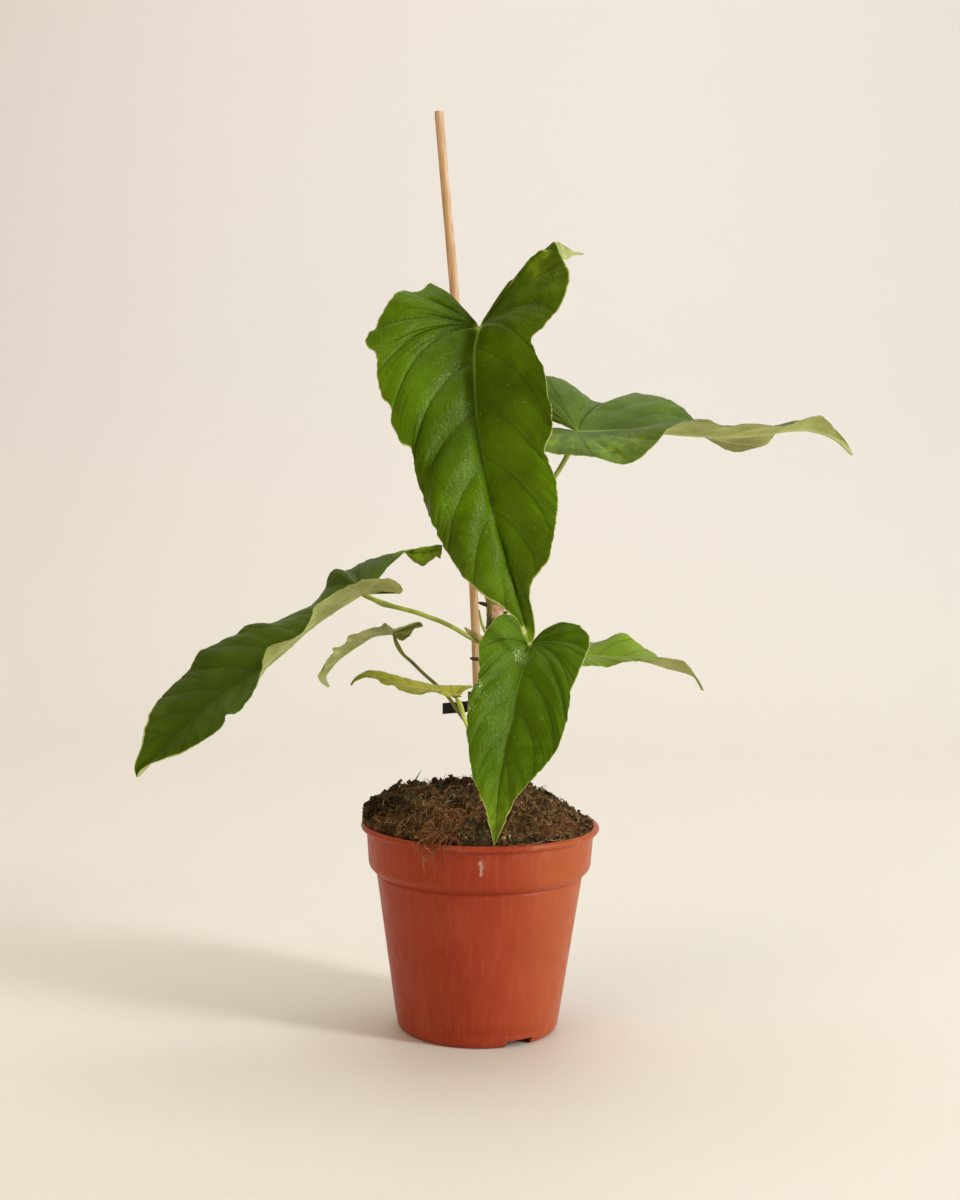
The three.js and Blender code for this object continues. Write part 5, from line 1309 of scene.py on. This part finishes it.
def wrapped(sheets):
    """Thin sheets round the stem with a ragged top, each standing away from it as flare rise^2."""
    curve = smooth_curve(STEM_ROUTE)
    rows, columns = 14, 40
    last_row, last_column = 2 * rows - 1, columns - 1
    parts = []
    for number, (low, high, first, last, flare) in enumerate(sheets):
        angle = np.radians(np.linspace(first, last, columns))[None, :]
        rise = np.linspace(0, 1, rows)[:, None]
        place = np.stack([angle[0] * 3, np.full(columns, number), np.zeros(columns)], -1)
        ragged = 1.6 * noise(place, 0.6, 30)
        height = low + (high - low) * rise + ragged[None, :] * rise
        centre = np.stack([np.interp(height, curve[0][:, 2], curve[0][:, k]) for k in (0, 1)], -1)
        reach = STEM_RADIUS + 0.15 + flare * rise**2 + 0.25 * np.sin(7 * angle) * rise
        skins = []
        for skin in (0.0, -0.22):
            spread = np.stack([centre[..., 0] + (reach + skin) * np.cos(angle),
                               centre[..., 1] + (reach + skin) * np.sin(angle), height], -1)
            skins.append(spread)
        loop = np.concatenate([skins[0], skins[1][::-1]])
        quads = grid_faces(2 * rows, columns, closed=False)
        j = np.arange(last_column)
        foot_wall = np.stack([j + last_row * columns, j + last_row * columns + 1, j + 1, j], -1)
        i = np.arange(rows - 1)
        ladder = np.stack([i, i + 1, last_row - 1 - i, last_row - i], -1) * columns
        far_ladder = ladder[:, [0, 3, 2, 1]] + last_column
        parts.append({"points": loop.reshape(-1, 3),
                      "faces": np.vstack([quads, foot_wall, ladder, far_ladder]),
                      "values": {}})
    return parts


def make_stake(wood):
    """Stake: a round rod a little off true along its slightly bent route, with a flat sawn top."""
    stake = tube(STAKE_ROUTE, lambda s, d: STAKE_RADIUS + 0.05 * np.sin(d / 17) - 0.25 * (s > 0.999), 260, 32)
    make_piece("stake_rod", stake, [wood], "stake")


def band_round(bars, clearance):
    """Outline pulled round two bars: in each direction, the bar that reaches furthest, plus the clearance."""
    angle = np.linspace(0, 2 * np.pi, BAND_POINTS, endpoint=False)
    ways = np.stack([np.cos(angle), np.sin(angle)], -1)
    reach = np.stack([ways @ np.array(centre) + radius for centre, radius in bars])
    nearest = reach.argmax(axis=0)
    centres = np.array([centre for centre, radius in bars])[nearest]
    radii = np.array([radius for centre, radius in bars])[nearest]
    return centres + ways * (radii + clearance)[:, None]


def make_tie(rubber):
    """Tie: a flat band round stake and stem with rounded edges, its free end out to the left, and a tab."""
    bars = [((-2.2, 9.9), STAKE_RADIUS), ((4.5, -4), STEM_RADIUS)]
    half = TIE_HEIGHT / 2
    section = [(0.0, -half + 0.3), (0.3, -half), (0.8, -half), (1.1, -half + 0.3), (1.1, half - 0.3),
               (0.8, half), (0.3, half), (0.0, half - 0.3)]
    rings = []
    for out, up in section + section[:1]:
        outline = band_round(bars, 0.45 + out)
        rings.append(np.column_stack([outline, np.full(len(outline), TIE_LEVEL + up)]))
    rings = np.array(rings)[::-1]
    points = rings[:-1].reshape(-1, 3)
    loop = {"points": points, "faces": grid_faces(len(rings), BAND_POINTS) % len(points), "values": {}}
    free_end = box_shape((-20.0, 9.4, -half), (-5.0, 10.5, half))
    tab = box_shape((-7.2, 9.3, -half - 0.2), (-5.4, 10.7, 7.4))
    lean = math.radians(TIE_END_DROOP)
    away = (free_end["points"][:, 0] + 5) * math.tan(lean)
    free_end["points"][:, 2] += away
    free_end["points"][:, 1] += away
    for end in (free_end, tab):
        end["points"] += (0, 0, TIE_LEVEL)
    tie = make_piece("tie_band", joined([loop, free_end, tab]), [rubber], "tie", sharp=30)
    bevel = tie.modifiers.new("worn edges", "BEVEL")
    bevel.width = 0.25 * MM
    bevel.segments = 3
    bevel.limit_method = "ANGLE"


def make_leaf(leaf, upper, under, stalk_skin):
    """Leaf: each blade, and the stalk, which is wider over 9 mm at the stem and swells at a knee near the
    blade as exp(-((d - knee)/3.5)^2)."""
    for name, blade in leaf["blades"].items():
        shape = blade_shape(blade, leaf["patches"], leaf.get("scuffs", []))
        make_piece(name, shape, [upper, under], leaf["node"], sharp=180)

    def radius(share, distance):
        from_blade = distance[-1] - distance
        foot = smooth_step(STALK_FOOT_LENGTH - distance, 0, STALK_FOOT_LENGTH)
        knee = np.exp(-((from_blade - leaf["knee"]) / 3.5)**2)
        return leaf["radius"] * (1 + 0.6 * foot + 0.35 * knee) * (1 - 0.25 * smooth_step(share, 0.97, 1))

    stalk = tube(leaf["stalk"], radius, 90, 20)
    make_piece(leaf["node"].replace("leaf", "stalk"), stalk, [stalk_skin], leaf["node"])


# Peat and coir pressed into the pot: dark, open and rough, so it has no gloss.
earth = two_tone("peat and coir, pressed", "#2d2011", "#64492b", 7, 0.95, 0.8, 0.5, level=0.2)
# Peat broken into loose lumps: each keeps its own brown, and some have dried pale.
bits = speckled("peat crumbs, loose", [(0.0, "#2a1d0f"), (0.4, "#4c3c1f"), (0.7, "#82673c"),
                                       (0.9, "#b2965f"), (1.0, "#6f7038")], 0.95)
# Moss grown in the damp: dull short shoots, dark green at the foot and straw where dry.
green = speckled("moss, grown", [(0.0, "#2e3317"), (0.45, "#5b602e"), (0.8, "#8c8b4c"),
                                 (1.0, "#c4bc84")], 0.85)
# Coir shredded from the husk: fine strands from red brown to straw, nearly matt.
coir = speckled("coir fibre, shredded", [(0.0, "#553018"), (0.5, "#93592f"), (0.85, "#c08a52"),
                                         (1.0, "#e6c396")], 0.8)
# Root skin that dried in the air: dark brown and uneven, without gloss.
root_skin = two_tone("root skin, dried", "#241812", "#4a3526", 2, 0.7, 0.4, 0.1)
plastic = pot_plastic("polypropylene, injection moulded")
# Dowel turned and sanded: the grain runs lengthwise as faint streaks, and bare wood stays matt.
wood = two_tone("pine dowel, sanded", "#be9466", "#d8b68e", 1.2, 0.62, 0.5, 0.06, stretch=(1, 1, 0.04))
# Soft vinyl extruded as a flat band: near black and even, with a low satin sheen.
rubber = two_tone("soft vinyl, extruded", "#0d0d0c", "#191917", 3, 0.5, 0.6, 0.03)
# Stem skin grown and hardened: green that drifts to brown, slightly rough.
bark = two_tone("anthurium stem, grown", "#42512a", "#7a6b40", 5, 0.7, 0.6, 0.25)
# Sheaths that died and dried on the stem: straw brown, drawn out lengthwise and papery.
papery = two_tone("leaf sheath, dried", "#6a5f28", "#a8965a", 4, 0.75, 0.5, 0.15, stretch=(1, 1, 0.3))
# Corky skin healed over where a leaf came off: pale and pinkish, matt.
healed = two_tone("leaf scar, healed", "#b08466", "#d6b296", 3, 0.75, 0.5, 0.1)
# Stalks grown with a thin wax: smooth, so a soft satin light runs along them. The thinnest
# one is duller, and the young leaf's is pale yellow green.
stalk_green = two_tone("leaf stalk, grown", "#7d8824", "#a2aa3e", 8, 0.42, 0.8, 0.04)
stalk_dull = two_tone("thin leaf stalk, grown", "#6d7026", "#969a3c", 8, 0.5, 0.8, 0.04)
stalk_pale = two_tone("young leaf stalk, grown", "#a3b23c", "#c6cf62", 6, 0.42, 0.8, 0.04)
# Leaf faces, each leaf with its own green: partly they differ in age, and partly the greens are painted light
# and shade, darker on leaves that lie in less light and paler on those that catch more.
large_upper = leaf_upper("large leaf face, waxy", "#445b03", "#587808", "#8ea24c", 0.42, 0.3)
back_upper = leaf_upper("back leaf face, waxy", "#465d14", "#5c7420", "#93a85a", 0.5, 0.45)
left_upper = leaf_upper("left leaf face, waxy", "#3a4d02", "#4a6206", "#6f8530", 0.2, 0.45)
heart_upper = leaf_upper("heart leaf face, waxy", "#466206", "#58760e", "#8fa850", 0.6, 0.36)
small_upper = leaf_upper("small leaf face, waxy", "#74901a", "#8ea82a", "#aebe60", 0.3, 0.42)
young_upper = leaf_upper("young leaf face, waxy", "#8a8f12", "#aaa526", "#c2bd5c", 0.3, 0.4)
# Undersides without wax: paler, duller, and netted with fine raised veins.
under = leaf_under("leaf underside, netted", "#8e9747", "#b7ba71", "#b8bf7c")
young_under = leaf_under("young leaf underside, netted", "#858a12", "#a19c22", "#a9a53c")

make_pot(plastic)
make_soil(earth)
make_crumbs(bits)
make_moss(green)
make_fibres(coir)
make_edge_roots(coir)
make_twigs(root_skin)
make_stake(wood)
make_tie(rubber)
make_stem(bark, papery, healed, root_skin, stalk_green)
FACES = {
    "leaf_front_large": (large_upper, under, stalk_green),
    "leaf_back_right": (back_upper, under, stalk_green),
    "leaf_left_large": (left_upper, under, stalk_green),
    "leaf_back_left_small": (small_upper, under, stalk_dull),
    "leaf_young": (young_upper, young_under, stalk_pale),
    "leaf_front_heart": (heart_upper, under, stalk_green),
    "leaf_right_small": (small_upper, under, stalk_green),
}
for leaf in LEAVES:
    make_leaf(leaf, *FACES[leaf["node"]])


def make_stage():
    """Floor that curves up into a wall: a straight floor, a quarter circle and a straight rise."""
    turn = np.linspace(0, np.pi / 2, 40)
    line = [(-4000, 0), (-1500, 0), (700, 0)]
    line += [(900 + 1100 * math.sin(a), 1100 * (1 - math.cos(a))) for a in turn]
    line += [(2000, 4000)]
    line = np.array(line, float)
    across = np.linspace(-4000, 4000, 9)
    points = np.stack([np.tile(across, len(line)), np.repeat(line[:, 0], 9), np.repeat(line[:, 1], 9)], -1)
    mesh = bpy.data.meshes.new("studio_floor")
    mesh.from_pydata((points * MM).tolist(), [], grid_faces(len(line), 9, closed=False).tolist())
    mesh.shade_smooth()
    floor = bpy.data.objects.new("studio_floor", mesh)
    bpy.context.scene.collection.objects.link(floor)
    material, tree, output = start_material("painted board, rolled")
    place = add(tree, "ShaderNodeTexCoord").outputs["Object"]
    height = add(tree, "ShaderNodeSeparateXYZ", {"Vector": place}).outputs["Z"]
    # Painted shade: the board is a little darker and cooler up the wall than on the floor.
    colour = mixed(tree, mapped(tree, height, 0.0, 0.5), "#e8e1d1", "#e3dcd0")
    shader = add(tree, "ShaderNodeBsdfPrincipled", {
        "Base Color": colour, "Roughness": 0.55, "Specular IOR Level": 0.2,
    })
    tree.links.new(shader.outputs[0], output.inputs[0])
    mesh.materials.append(material)


def add_light(name, place, target, size, power, colour, mirrored=True):
    """Soft light at a place in metres, facing the target, with its width and height. mirrored is whether
    glossy faces show it."""
    lamp = bpy.data.lights.new(name, "AREA")
    lamp.shape = "RECTANGLE"
    lamp.size, lamp.size_y = size
    lamp.energy = power
    lamp.color = linear(colour)[:3]
    light = bpy.data.objects.new(name, lamp)
    light.location = place
    light.visible_camera = False
    light.visible_glossy = mirrored
    light.rotation_euler = (Vector(target) - Vector(place)).to_track_quat("-Z", "Y").to_euler()
    bpy.context.scene.collection.objects.link(light)


def add_camera():
    """Camera at the photograph's viewpoint, pitched down and a little rolled."""
    pitch, roll = math.radians(CAMERA_PITCH), math.radians(CAMERA_ROLL)
    ahead = Vector((0, math.cos(pitch), -math.sin(pitch)))
    level_up = Vector((0, math.sin(pitch), math.cos(pitch)))
    side = Vector((1, 0, 0))
    right = math.cos(roll) * side + math.sin(roll) * level_up
    up = -math.sin(roll) * side + math.cos(roll) * level_up
    turn = Matrix((right, up, -ahead)).transposed().to_4x4()
    lens = bpy.data.cameras.new("camera")
    lens.lens = CAMERA_LENS
    lens.sensor_width = 36
    camera = bpy.data.objects.new("camera", lens)
    camera.matrix_world = Matrix.Translation(CAMERA_PLACE) @ turn
    bpy.context.scene.collection.objects.link(camera)
    bpy.context.scene.camera = camera


make_stage()
add_light("key", (1.7, -0.86, 0.82), (0, 0, 0.25), (0.3, 1.5), 38, "#f4f8ff")
add_light("left_fill", (-1.7, -1.7, 1.2), (0, 0.1, 0.15), (1.6, 1.6), 21, "#ffe6cc", mirrored=False)
add_light("ceiling", (0, 0.2, 2.6), (0, 0.2, 0), (2.6, 2.6), 26, "#fff6ea")
add_light("backdrop", (0.2, 0.9, 2.4), (0.1, 2.0, 0.2), (1.6, 1.6), 22, "#d8e6ff", mirrored=False)
add_camera()
world = bpy.data.worlds.new("studio")
world.use_nodes = True
world.node_tree.nodes["Background"].inputs["Color"].default_value = linear("#fff8ee")
world.node_tree.nodes["Background"].inputs["Strength"].default_value = 0.18
bpy.context.scene.world = world
bpy.context.scene.view_settings.view_transform = "Standard"
